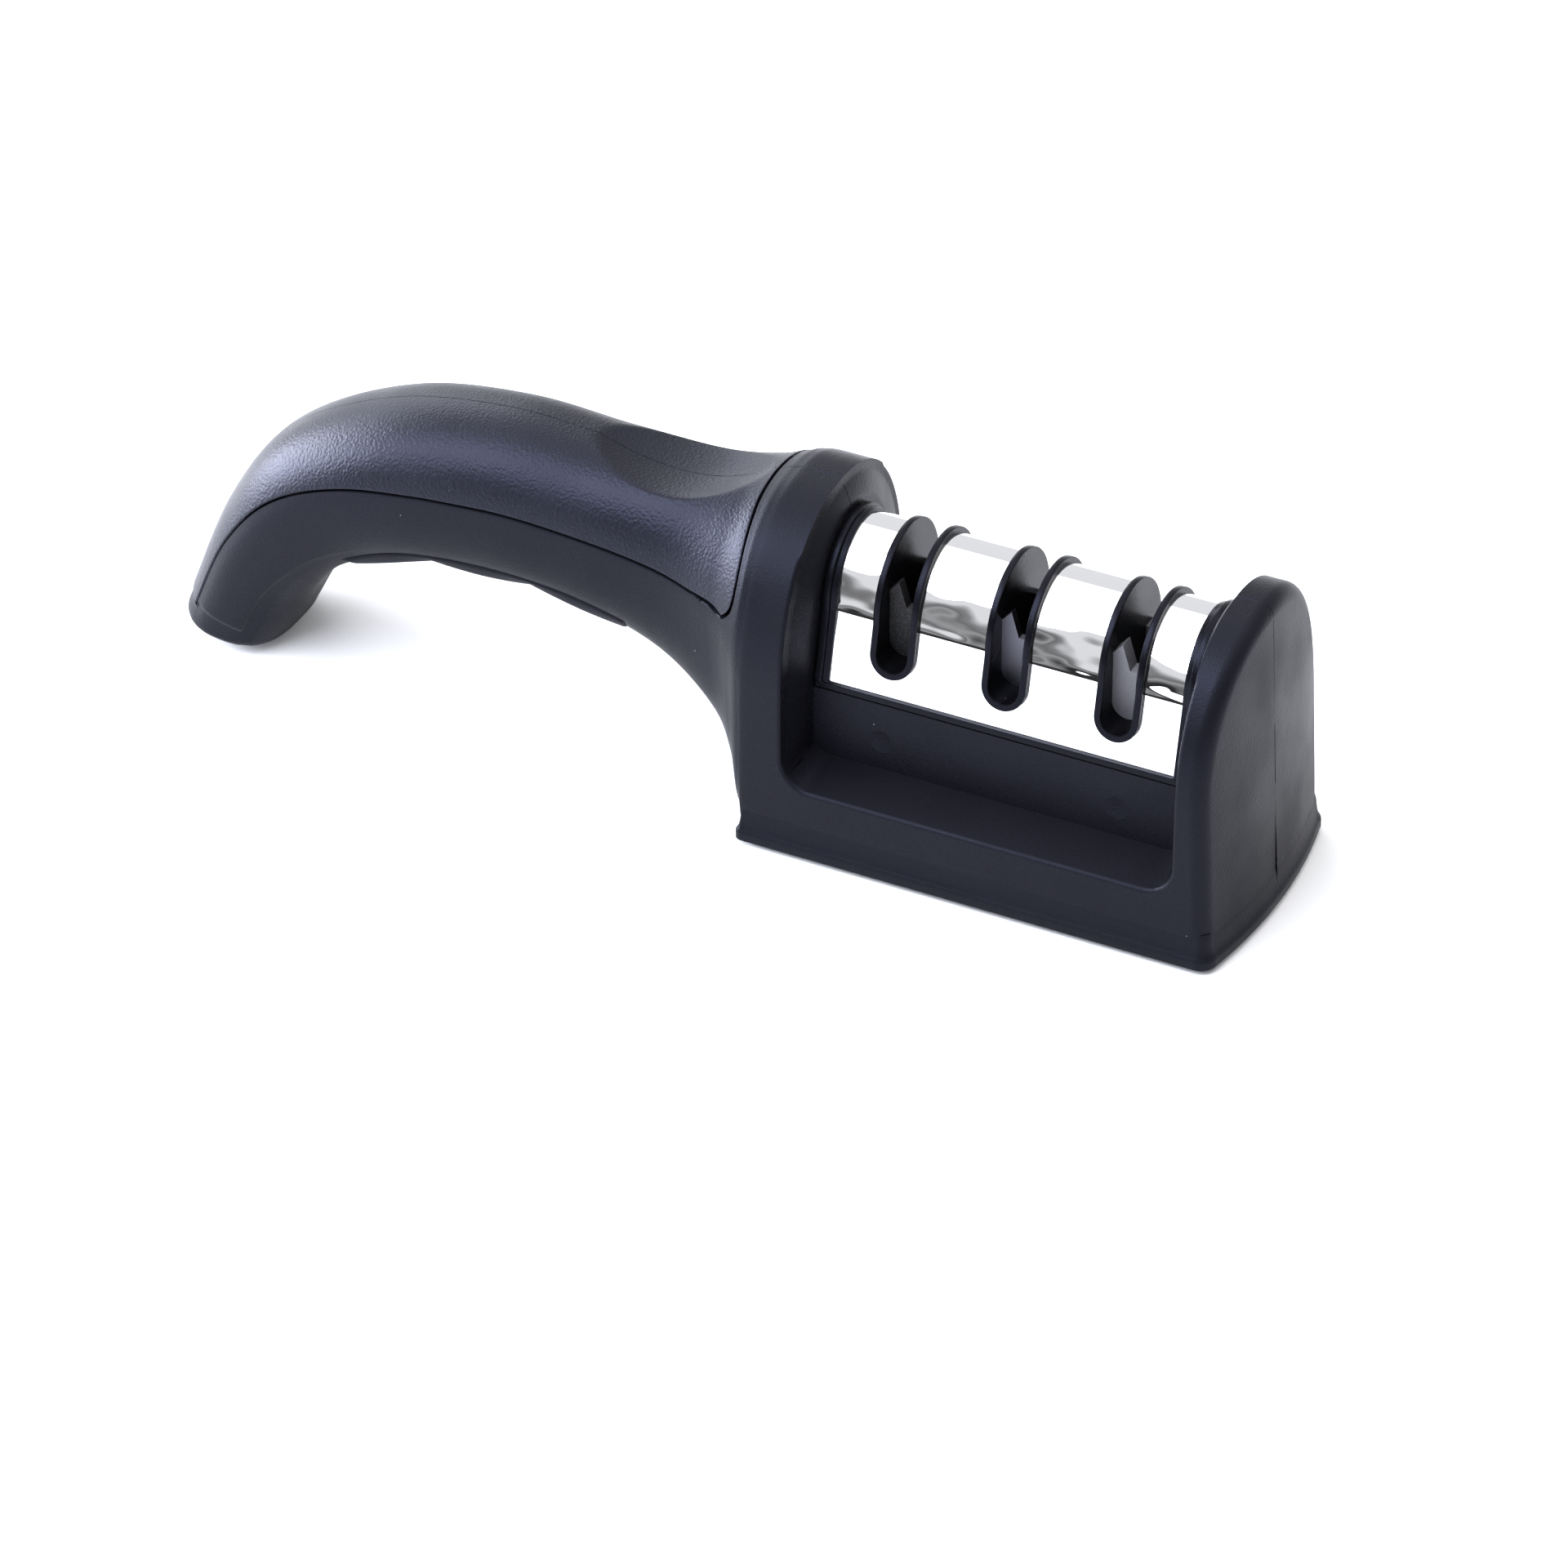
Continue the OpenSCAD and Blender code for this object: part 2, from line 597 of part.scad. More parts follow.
// One half of the core, with the elements' thicknesses in order along it
module core_half(order) {
    difference() {
        union() {
            head_section(-cover_t, cover_l, eps);
            difference() {
                head_section(collar_proud, head_l, eps);
                translate([-cover_l / 2, -far_out, 0]) cube([cover_l, 2 * far_out, 2 * far_out]);
            }
            translate([-head_l / 2, -rim_y, rim_z]) cube([head_l, rim_y, rim_h]);
            translate([-head_l / 2, -foot_y, core_z]) cube([head_l, foot_y, rim_z - core_z + eps]);
            for (x = slots) translate([x, 0, 0]) intersection() {
                head_section(collar_proud, 2 * collar_r, eps);
                slot_shape(collar_r, 0, far_out);
            }
        }
        for (i = [0:2]) translate([slots[i], 0, 0]) {
            slot_shape(slot_w / 2, -1, far_out);
            element(order[i], element_gap);
        }
        for (x = [-1, 1]) {
            translate([x * slot_pitch / 2, 0, 0]) difference() {
                translate([-pocket_half, -pocket_y, 0]) cube([2 * pocket_half, pocket_y - core_middle, pocket_top]);
                translate([0, -boss_y, 0]) cylinder(h = far_out, r = head_boss_r);
            }
            translate([x * (slot_pitch + head_l / 2 + collar_r) / 2 - end_pocket_half, -pocket_y, 0])
                cube([2 * end_pocket_half, pocket_y - core_middle, pocket_top]);
            translate([x * slot_pitch / 2, -boss_y, 0]) cylinder(h = core_z + head_screw_l, r = small_screw_r + screw_gap);
        }
    }
}

module core_near() color(shell_black) core_half(thicknesses);
// The far half is turned half a turn, which swaps its end slots
module core_far() color(shell_black) rotate([0, 0, 180]) core_half([ceramic_t, carbide_t, diamond_t]);

module head_cover() {
    color(bright) difference() {
        for (m = [0, 1]) mirror([0, m, 0]) difference() {
            head_section(0, cover_l, 0);
            head_section(-cover_t, cover_l + 2, 1);
        }
        for (x = slots) translate([x, 0, 0]) slot_shape(collar_r + screw_gap, -far_out, far_out);
    }
}

module head_foot() {
    color(shell_black) difference() {
        translate([-head_l / 2, -foot_y, head_z]) cube([head_l, 2 * foot_y, foot_t]);
        for (p = head_screw_points) translate([p[0], p[1], head_z - 1]) {
            cylinder(h = far_out, r = small_screw_r + screw_gap);
            cylinder(h = 1 + small_head_h, r = small_head_r + screw_gap);
        }
    }
}

module head_screws() {
    color(zinc) for (p = head_screw_points) translate([p[0], p[1], head_z]) small_screw(foot_t + head_screw_l - hole_over);
}

module near_element(i) translate([slots[i], 0, 0]) element(thicknesses[i]);
module far_element(i) translate([slots[i], 0, 0]) rotate([0, 0, 180]) element(thicknesses[i]);

module diamond_plate_near() color(diamond_grey) near_element(0);
module diamond_plate_far() color(diamond_grey) far_element(0);
module carbide_blade_near() color(carbide_grey) near_element(1);
module carbide_blade_far() color(carbide_grey) far_element(1);
module ceramic_plate_near() color(ceramic_white) near_element(2);
module ceramic_plate_far() color(ceramic_white) far_element(2);

housing_near();
housing_far();
grip_skin_near();
grip_skin_far();
finger_pad();
base_plate();
base_pad();
housing_screws();
base_screws();
core_near();
core_far();
head_cover();
head_foot();
head_screws();
diamond_plate_near();
diamond_plate_far();
carbide_blade_near();
carbide_blade_far();
ceramic_plate_near();
ceramic_plate_far();
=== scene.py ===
"""Pull-through knife sharpener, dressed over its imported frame.

The moulded housing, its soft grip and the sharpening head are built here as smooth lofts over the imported
solids, from the same sizes. Lengths inside the classes are millimetres, and a mesh is turned into metres when
it is made. Stations run along the grip from its root to its tail, and angles run round it in degrees, from 0
at the crest to 180 at the underside.
"""

from __future__ import annotations

import logging
import math
from collections.abc import Callable, Sequence
from dataclasses import dataclass
from enum import Enum

import bmesh
import bpy
import numpy as np
from mathutils import Matrix, Vector

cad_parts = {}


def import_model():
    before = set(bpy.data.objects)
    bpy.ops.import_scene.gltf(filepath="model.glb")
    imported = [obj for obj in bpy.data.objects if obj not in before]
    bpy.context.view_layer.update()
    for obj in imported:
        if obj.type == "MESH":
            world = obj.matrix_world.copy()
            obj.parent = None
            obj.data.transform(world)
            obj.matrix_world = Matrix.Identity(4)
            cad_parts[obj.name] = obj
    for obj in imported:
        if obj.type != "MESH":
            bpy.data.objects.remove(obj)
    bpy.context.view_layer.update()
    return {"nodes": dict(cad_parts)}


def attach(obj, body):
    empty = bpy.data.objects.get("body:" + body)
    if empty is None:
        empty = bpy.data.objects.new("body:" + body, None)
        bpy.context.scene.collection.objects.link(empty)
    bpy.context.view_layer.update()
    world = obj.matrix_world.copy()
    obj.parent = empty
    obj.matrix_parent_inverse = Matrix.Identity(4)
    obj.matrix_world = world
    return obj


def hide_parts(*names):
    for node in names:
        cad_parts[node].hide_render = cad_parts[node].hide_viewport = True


LOG = logging.getLogger("knife_sharpener")
MM = 0.001

# Corners of a new mesh closer than this are merged, edges shorter than this are dropped, and corners that a
# boolean left this close are merged before edges are rounded. All three in metres.
MERGE_M = 2e-6
SLIVER_M = 1e-6
WELD_M = 1.5e-5

# Two faces count as one flat face below this angle, in radians.
FLAT_ANGLE = 0.0015

# Tools reach down to BELOW, up to ABOVE and past the parting plane by OVERLAP, in millimetres.
BELOW = -1.0
ABOVE = 90.0
OVERLAP = 1.0

Grid = np.ndarray
Point = tuple[float, float, float]


class Side(Enum):
    """The two halves of the object, either side of the parting plane."""

    NEAR = -1
    FAR = 1

    @property
    def word(self) -> str:
        """The half's name as the nodes spell it."""
        return "near" if self is Side.NEAR else "far"


class Cut(Enum):
    """What a boolean does with its tool."""

    TAKE = "DIFFERENCE"
    JOIN = "UNION"
    KEEP = "INTERSECT"


# Curves and tables


def ease(value: Grid, low: float, high: float) -> Grid:
    """A smooth step from 0 at low to 1 at high.

    Args:
        value: The values to look at.
        low: Where the step starts.
        high: Where it ends; below low for a falling step.

    Returns:
        The step at each value.
    """
    f = np.clip((value - low) / (high - low), 0.0, 1.0)
    return f * f * (3.0 - 2.0 * f)


def read_table(rows: Sequence[Sequence[float]], at: Grid) -> Grid:
    """A smooth curve through rows of (place, value).

    Args:
        rows: Places in rising order with their values.
        at: Where to read the curve.

    Returns:
        The value at each place, softened between the rows.
    """
    table = np.array(rows, float)
    spread = (-0.16, -0.08, 0.0, 0.08, 0.16)
    return sum(np.interp(at + d, table[:, 0], table[:, 1]) for d in spread) / len(spread)


def power(value: Grid, exponent: Grid) -> Grid:
    """A power that keeps its sign."""
    return np.sign(value) * np.abs(value) ** exponent


def length_of(vectors: Grid) -> Grid:
    """The length of each vector in an array whose last axis is x, y, z."""
    return np.sqrt((vectors * vectors).sum(-1))


def arc_point(x: float, y: float, radius: float, degrees: float) -> list[float]:
    """The point of a circle round x and y at an angle."""
    t = math.radians(degrees)
    return [x + radius * math.cos(t), y + radius * math.sin(t)]


def quarter_round(inside: Grid, radius: float) -> Grid:
    """How far an edge rounded to a radius has dropped.

    Args:
        inside: Distance inwards from the edge.
        radius: The edge's radius.

    Returns:
        The drop, from radius at the edge to 0 further in.
    """
    t = np.clip(inside / radius, 0.0, 1.0)
    return radius * (1.0 - np.sqrt(1.0 - (1.0 - t) ** 2))


# Meshes


def mesh_object(name: str, points: Grid, faces: Sequence[Sequence[int]]) -> bpy.types.Object:
    """Makes an object from points in millimetres.

    Args:
        name: The object's name.
        points: One row of x, y, z for each corner.
        faces: Corner numbers of each face.

    Returns:
        The new object, at the origin, with its faces pointing outwards.
    """
    mesh = bpy.data.meshes.new(name)
    mesh.from_pydata((np.asarray(points, float) * MM).tolist(), [], [list(f) for f in faces])
    work = bmesh.new()
    work.from_mesh(mesh)
    bmesh.ops.remove_doubles(work, verts=work.verts, dist=MERGE_M)
    bmesh.ops.dissolve_degenerate(work, edges=work.edges, dist=SLIVER_M)
    bmesh.ops.recalc_face_normals(work, faces=work.faces)
    if work.calc_volume(signed=True) < 0:
        bmesh.ops.reverse_faces(work, faces=work.faces)
    work.to_mesh(mesh)
    work.free()
    return placed(name, mesh)


def placed(name: str, data: bpy.types.ID) -> bpy.types.Object:
    """Puts a new object in the scene, at the origin.

    Args:
        name: Its name.
        data: Its mesh, light or camera.

    Returns:
        The object.
    """
    made = bpy.data.objects.new(name, data)
    bpy.context.scene.collection.objects.link(made)
    return made


def loft(name: str, rings: Grid) -> bpy.types.Object:
    """A closed solid through a stack of closed rings.

    Args:
        name: The object's name.
        rings: An array of rings, each with the same number of points.

    Returns:
        The solid, capped at both ends.
    """
    count, size = rings.shape[:2]
    i, j = np.meshgrid(np.arange(count - 1), np.arange(size), indexing="ij")
    a, b = i * size + j, i * size + (j + 1) % size
    quads = np.stack([a, b, b + size, a + size], -1).reshape(-1, 4).tolist()
    caps = [list(range(size)), list(range((count - 1) * size, count * size))]
    return mesh_object(name, rings.reshape(-1, 3), quads + caps)


def prism(name: str, outline: Grid, sweep: Grid) -> bpy.types.Object:
    """A solid whose outline is carried along a straight line."""
    return loft(name, np.stack([outline, outline + np.asarray(sweep, float)]))


def block(name: str, low: Point, high: Point) -> bpy.types.Object:
    """A cutting block.

    Args:
        name: The object's name.
        low: Its lowest corner, in millimetres.
        high: The opposite corner.

    Returns:
        The block.
    """
    (x0, y0, z0), (x1, y1, z1) = low, high
    outline = np.array([[x0, y0, z0], [x1, y0, z0], [x1, y1, z0], [x0, y1, z0]], float)
    return prism(name, outline, (0, 0, z1 - z0))


def rod(name: str, start: Point, end: Point, radius: float, sides: int = 48) -> bpy.types.Object:
    """A round tool between two points, in millimetres.

    Args:
        name: The object's name.
        start: The middle of one end.
        end: The middle of the other end.
        radius: Its radius.
        sides: How many flats stand for its round.

    Returns:
        The rod.
    """
    a, b = Vector(start), Vector(end)
    turn = (b - a).to_track_quat("Z", "Y").to_matrix()
    ring = [
        a + turn @ Vector((radius * math.cos(t), radius * math.sin(t), 0))
        for t in np.linspace(0, 2 * math.pi, sides, endpoint=False)
    ]
    return prism(name, np.array([list(p) for p in ring]), np.array(list(b - a)))


def settled(piece: bpy.types.Object) -> bpy.types.Object:
    """Applies every modifier of a piece to its mesh.

    Args:
        piece: The piece with its modifiers.

    Returns:
        The same piece without them.
    """
    graph = bpy.context.evaluated_depsgraph_get()
    made = bpy.data.meshes.new_from_object(piece.evaluated_get(graph))
    old = piece.data
    piece.modifiers.clear()
    piece.data = made
    made.name = piece.name
    bpy.data.meshes.remove(old)
    return piece


def combine(piece: bpy.types.Object, tool: bpy.types.Object, cut: Cut) -> None:
    """Cuts, joins or trims a piece with a closed tool and throws the tool away.

    Args:
        piece: The solid that stays.
        tool: The closed solid that is used up.
        cut: What is done with it.
    """
    boolean = piece.modifiers.new("combine", "BOOLEAN")
    boolean.solver = "MANIFOLD"
    boolean.operation = cut.value
    boolean.object = tool
    bpy.context.view_layer.update()
    settled(piece)
    bpy.data.objects.remove(tool)


def discard(piece: bpy.types.Object) -> None:
    """Removes a helper object and its mesh.

    Args:
        piece: The helper.
    """
    mesh = piece.data
    bpy.data.objects.remove(piece)
    bpy.data.meshes.remove(mesh)


def round_edges(
    piece: bpy.types.Object,
    radius: float,
    picked: Callable[[Vector], bool],
    sharper_than: float = 35.0,
    steps: int = 3,
) -> None:
    """Rounds the sharp edges whose middle is picked.

    Args:
        piece: The solid to work on.
        radius: The width of the rounding, in millimetres.
        picked: Says of a place, in millimetres, whether its edge is rounded.
        sharper_than: The least angle between the faces, in degrees.
        steps: How many faces make the rounding.
    """
    work = bmesh.new()
    work.from_mesh(piece.data)
    bmesh.ops.remove_doubles(work, verts=work.verts, dist=WELD_M)
    flat = [e for e in work.edges if len(e.link_faces) == 2 and e.calc_face_angle(0.0) < FLAT_ANGLE]
    bmesh.ops.dissolve_edges(work, edges=flat, use_verts=False, use_face_split=False)
    limit = math.radians(sharper_than)

    def chosen(edge: bmesh.types.BMEdge) -> bool:
        """Picks an edge by its sharpness and its place."""
        middle = (edge.verts[0].co + edge.verts[1].co) / (2 * MM)
        return len(edge.link_faces) == 2 and edge.calc_face_angle(0.0) > limit and picked(middle)

    bmesh.ops.bevel(
        work,
        geom=[e for e in work.edges if chosen(e)],
        offset=radius * MM,
        segments=steps,
        profile=0.5,
        affect="EDGES",
        clamp_overlap=False,
        loop_slide=True,
    )
    work.to_mesh(piece.data)
    work.free()


def smooth_shade(piece: bpy.types.Object, angle: float = 32.0) -> None:
    """Shades a piece smooth, apart from edges sharper than an angle, by the size of its faces.

    Args:
        piece: The piece to shade.
        angle: The angle from which an edge stays sharp, in degrees.
    """
    mesh = piece.data
    mesh.shade_smooth()
    mesh.set_sharp_from_angle(angle=math.radians(angle))
    weighted = piece.modifiers.new("even_shade", "WEIGHTED_NORMAL")
    weighted.keep_sharp = True
    weighted.weight = 80


# Finishes


@dataclass(frozen=True)
class Finish:
    """A surface finish that builds itself as a node material.

    Attributes:
        name: The material's name.
        colour: Its base colour, linear.
        roughness: How matt it is.
    """

    name: str
    colour: tuple[float, float, float]
    roughness: float = 0.4

    def material(self) -> bpy.types.Material:
        """The finished material, made once."""
        found = bpy.data.materials.get(self.name)
        if found:
            return found
        made = bpy.data.materials.new(self.name)
        made.use_nodes = True
        tree = made.node_tree
        shader = tree.nodes["Principled BSDF"]
        shader.inputs["Base Color"].default_value = (*self.colour, 1.0)
        shader.inputs["Roughness"].default_value = self.roughness
        self.dress(tree, shader)
        return made

    def dress(self, tree: bpy.types.NodeTree, shader: bpy.types.Node) -> None:
        """Adds this finish's own detail to its shader."""


def add_node(tree: bpy.types.NodeTree, kind: str, **values: object) -> bpy.types.Node:
    """A node with its inputs set by name, where a word holds spaces as underscores.

    Args:
        tree: The tree that gets the node.
        kind: The node's type.
        values: Socket values by name; a node property where no socket has the name.

    Returns:
        The node.
    """
    node = tree.nodes.new(kind)
    for key, value in values.items():
        name = key.replace("_", " ")
        if name in node.inputs:
            node.inputs[name].default_value = value
        else:
            setattr(node, key, value)
    return node


def wire(tree: bpy.types.NodeTree, source: bpy.types.NodeSocket, target: bpy.types.NodeSocket) -> None:
    """Links one socket to another."""
    tree.links.new(source, target)


def add_sockets(tree: bpy.types.NodeTree, sockets: Sequence[tuple[str, str, str]]) -> None:
    """Gives a node group its inputs and outputs, from rows of name, way and kind."""
    for name, way, kind in sockets:
        tree.interface.new_socket(name, in_out=way, socket_type=f"NodeSocket{kind}")


def feed(tree: bpy.types.NodeTree, value: object, target: bpy.types.NodeSocket) -> None:
    """Fills an input.

    Args:
        tree: The tree that it is in.
        value: A socket that is linked to it, or a plain value that it is set to.
        target: The input.
    """
    if isinstance(value, bpy.types.NodeSocket):
        wire(tree, value, target)
    else:
        target.default_value = value


def move_range(
    tree: bpy.types.NodeTree,
    value: bpy.types.NodeSocket,
    source: tuple[float, float],
    target: tuple[float, float] = (0.0, 1.0),
    smooth: bool = False,
) -> bpy.types.NodeSocket:
    """A value moved from one range to another.

    Args:
        tree: The tree that gets the node.
        value: The value.
        source: The range that it is read in.
        target: The range that it is moved to.
        smooth: Whether both ends are eased.

    Returns:
        The moved value.
    """
    node = add_node(tree, "ShaderNodeMapRange", interpolation_type="SMOOTHSTEP" if smooth else "LINEAR")
    node.inputs["From Min"].default_value, node.inputs["From Max"].default_value = source
    node.inputs["To Min"].default_value, node.inputs["To Max"].default_value = target
    wire(tree, value, node.inputs["Value"])
    return node.outputs["Result"]


def reckon(
    tree: bpy.types.NodeTree, operation: str, first: bpy.types.NodeSocket, second: object
) -> bpy.types.NodeSocket:
    """The result of a sum.

    Args:
        tree: The tree that gets the node.
        operation: What the node does.
        first: The first value.
        second: The second value, a socket or a number.

    Returns:
        The result.
    """
    node = add_node(tree, "ShaderNodeMath", operation=operation)
    wire(tree, first, node.inputs[0])
    feed(tree, second, node.inputs[1])
    return node.outputs[0]


def texture(
    tree: bpy.types.NodeTree, kind: str, place: bpy.types.NodeSocket, **values: object
) -> bpy.types.Node:
    """A texture read at a place.

    Args:
        tree: The tree that gets the node.
        kind: The texture's word in its node type, such as Noise.
        place: Where it is read.
        values: Its sizes, by socket name.

    Returns:
        The texture's node.
    """
    node = add_node(tree, f"ShaderNodeTex{kind}", **values)
    wire(tree, place, node.inputs["Vector"])
    return node


def bumped(
    tree: bpy.types.NodeTree,
    height: bpy.types.NodeSocket,
    distance: float,
    strength: object,
    under: bpy.types.NodeSocket | None = None,
) -> bpy.types.NodeSocket:
    """A normal turned by a height.

    Args:
        tree: The tree that gets the node.
        height: The height.
        distance: How far a height of 1 stands up, in metres.
        strength: How much of it counts, a socket or a number.
        under: A normal that it starts from, if any.

    Returns:
        The normal.
    """
    node = add_node(tree, "ShaderNodeBump", Distance=distance)
    feed(tree, strength, node.inputs["Strength"])
    wire(tree, height, node.inputs["Height"])
    if under is not None:
        wire(tree, under, node.inputs["Normal"])
    return node.outputs["Normal"]


def blended(
    tree: bpy.types.NodeTree, first: object, second: object, share: bpy.types.NodeSocket
) -> bpy.types.NodeSocket:
    """A colour between two others.

    Args:
        tree: The tree that gets the node.
        first: The colour where the share is 0, a socket or four numbers.
        second: The colour where it is 1.
        share: How much of the second shows.

    Returns:
        The colour.
    """
    node = add_node(tree, "ShaderNodeMix", data_type="RGBA")
    feed(tree, first, node.inputs["A"])
    feed(tree, second, node.inputs["B"])
    wire(tree, share, node.inputs["Factor"])
    return node.outputs["Result"]


def cell_value(tree: bpy.types.NodeTree, cells: bpy.types.Node) -> bpy.types.NodeSocket:
    """One random value for each cell of a cell texture."""
    split = add_node(tree, "ShaderNodeSeparateColor")
    wire(tree, cells.outputs["Color"], split.inputs["Color"])
    return split.outputs[0]


def object_place(tree: bpy.types.NodeTree) -> bpy.types.NodeSocket:
    """The place of a point on its piece."""
    return tree.nodes.new("ShaderNodeTexCoord").outputs["Object"]


MOULDING = "moulded_surface"
GRAIN_HEIGHT_M = 0.0001
LINE_HEIGHT_M = 0.00004
SWELL_HEIGHT_M = 0.004
GRIT_HEIGHT_M = 0.00006
GLOSS_PATCH_SCALE = 55.0
DUST_SCALE = 430.0
DUST_SIZE = (0.075, 0.04)
DUST_RARITY = 0.965
PATCH_RANGE = (0.3, 0.7)


def moulding_group() -> bpy.types.NodeTree:
    """The shared look of moulded surfaces: grain as a normal, patchy gloss and rare dust specks.

    Returns:
        A group with inputs Place, Scale, Depth and outputs Normal, Patch and Dust.
    """
    found = bpy.data.node_groups.get(MOULDING)
    if found:
        return found
    tree = bpy.data.node_groups.new(MOULDING, "ShaderNodeTree")
    sockets = (
        ("Place", "INPUT", "Vector"),
        ("Scale", "INPUT", "Float"),
        ("Depth", "INPUT", "Float"),
        ("Normal", "OUTPUT", "Vector"),
        ("Patch", "OUTPUT", "Float"),
        ("Dust", "OUTPUT", "Float"),
    )
    add_sockets(tree, sockets)
    given, made = tree.nodes.new("NodeGroupInput").outputs, tree.nodes.new("NodeGroupOutput").inputs
    place = given["Place"]
    cells = texture(tree, "Voronoi", place, feature="SMOOTH_F1", Smoothness=0.6)
    fuzz = texture(tree, "Noise", place, Detail=3.0, Roughness=0.6)
    wire(tree, given["Scale"], cells.inputs["Scale"])
    wire(tree, given["Scale"], fuzz.inputs["Scale"])
    grain = reckon(tree, "ADD", cells.outputs["Distance"], fuzz.outputs["Fac"])
    wire(tree, bumped(tree, grain, GRAIN_HEIGHT_M, given["Depth"]), made["Normal"])
    patch = texture(tree, "Noise", place, Scale=GLOSS_PATCH_SCALE, Detail=2.0, Roughness=0.5)
    wire(tree, patch.outputs["Fac"], made["Patch"])
    speck = texture(tree, "Voronoi", place, Scale=DUST_SCALE)
    near = move_range(tree, speck.outputs["Distance"], DUST_SIZE, smooth=True)
    rare = reckon(tree, "GREATER_THAN", cell_value(tree, speck), DUST_RARITY)
    wire(tree, reckon(tree, "MULTIPLY", near, rare), made["Dust"])
    return tree


@dataclass(frozen=True)
class Moulded(Finish):
    """Moulded plastic or soft rubber with a fine grain.

    Attributes:
        grain: How fine the grain is, as a texture scale.
        depth: How deep it is.
        sheen: A soft bloom at grazing light.
        patchy: How far the gloss varies over the surface.
        dust: How bright the rare dust specks are.
        gleam: How strongly it mirrors its surroundings.
    """

    grain: float = 2600.0
    depth: float = 0.25
    sheen: float = 0.0
    patchy: float = 0.08
    dust: float = 0.12
    gleam: float = 0.3

    def dress(self, tree: bpy.types.NodeTree, shader: bpy.types.Node) -> None:
        """Adds grain, patchy gloss, dust and sheen.

        Args:
            tree: The material's tree.
            shader: Its shader.
        """
        group = tree.nodes.new("ShaderNodeGroup")
        group.node_tree = moulding_group()
        group.inputs["Scale"].default_value = self.grain
        group.inputs["Depth"].default_value = self.depth
        wire(tree, object_place(tree), group.inputs["Place"])
        wire(tree, group.outputs["Normal"], shader.inputs["Normal"])
        patch = group.outputs["Patch"]
        gloss = (self.roughness - self.patchy, self.roughness + self.patchy)
        wire(tree, move_range(tree, patch, PATCH_RANGE, gloss), shader.inputs["Roughness"])
        darker = tuple(c * 0.75 + 0.001 for c in self.colour)
        tint = blended(tree, (*self.colour, 1.0), (*darker, 1.0), patch)
        dusty = blended(tree, tint, (self.dust, self.dust, self.dust, 1.0), group.outputs["Dust"])
        wire(tree, dusty, shader.inputs["Base Color"])
        shader.inputs["Sheen Weight"].default_value = self.sheen
        shader.inputs["Sheen Roughness"].default_value = 0.45
        shader.inputs["Sheen Tint"].default_value = (0.62, 0.66, 0.95, 1.0)
        shader.inputs["Specular IOR Level"].default_value = self.gleam
        shader.inputs["Specular Tint"].default_value = (0.66, 0.7, 1.0, 1.0)


@dataclass(frozen=True)
class Metal(Finish):
    """Metal, from mirror chrome to ground carbide.

    Attributes:
        wave: How far its surface waves, as in thin polished plate; 0 for none.
        scratch: How strongly fine lines run through it.
        stretch: The texture's scale along x, y and z.
        wave_from: The height, in metres, from which it waves.
        wave_fade: How far above that the waves are whole, start to calm and are gone, in metres.
    """

    wave: float = 0.0
    scratch: float = 0.0
    stretch: tuple[float, float, float] = (60.0, 60.0, 60.0)
    wave_from: float = 0.0
    wave_fade: tuple[float, float, float] = (0.0016, 0.0055, 0.0095)

    def dress(self, tree: bpy.types.NodeTree, shader: bpy.types.Node) -> None:
        """Adds waves and fine lines to bare metal.

        Args:
            tree: The material's tree.
            shader: Its shader.
        """
        shader.inputs["Metallic"].default_value = 1.0
        place = object_place(tree)
        size = add_node(tree, "ShaderNodeMapping", Scale=self.stretch)
        wire(tree, place, size.inputs["Vector"])
        stretched = size.outputs["Vector"]
        lines = texture(tree, "Noise", stretched, Scale=22.0, Detail=4.0, Roughness=0.7).outputs["Fac"]
        waves = self.waves(tree, place, stretched) if self.wave else None
        wire(tree, bumped(tree, lines, LINE_HEIGHT_M, self.scratch, waves), shader.inputs["Normal"])
        gloss = (self.roughness * 0.8, self.roughness * 1.3)
        wire(tree, move_range(tree, lines, (0.0, 1.0), gloss), shader.inputs["Roughness"])

    def waves(
        self, tree: bpy.types.NodeTree, place: bpy.types.NodeSocket, stretched: bpy.types.NodeSocket
    ) -> bpy.types.NodeSocket:
        """The slow waves of thin plate, which fade in from a height and calm down above it.

        Args:
            tree: The material's tree.
            place: The place of a point on the piece.
            stretched: The same place in the texture's scale.

        Returns:
            The waving normal.
        """
        split = tree.nodes.new("ShaderNodeSeparateXYZ")
        wire(tree, place, split.inputs["Vector"])
        height = split.outputs["Z"]
        whole, calming, gone = (self.wave_from + rise for rise in self.wave_fade)
        fade_in = move_range(tree, height, (self.wave_from, whole), smooth=True)
        calm = move_range(tree, height, (gone, calming), smooth=True)
        within = reckon(tree, "MULTIPLY", calm, fade_in)
        swell = texture(tree, "Noise", stretched, Scale=1.0, Detail=1.5, Roughness=0.45)
        level = reckon(tree, "SUBTRACT", swell.outputs["Fac"], 0.5)
        return bumped(tree, reckon(tree, "MULTIPLY", level, within), SWELL_HEIGHT_M, self.wave)


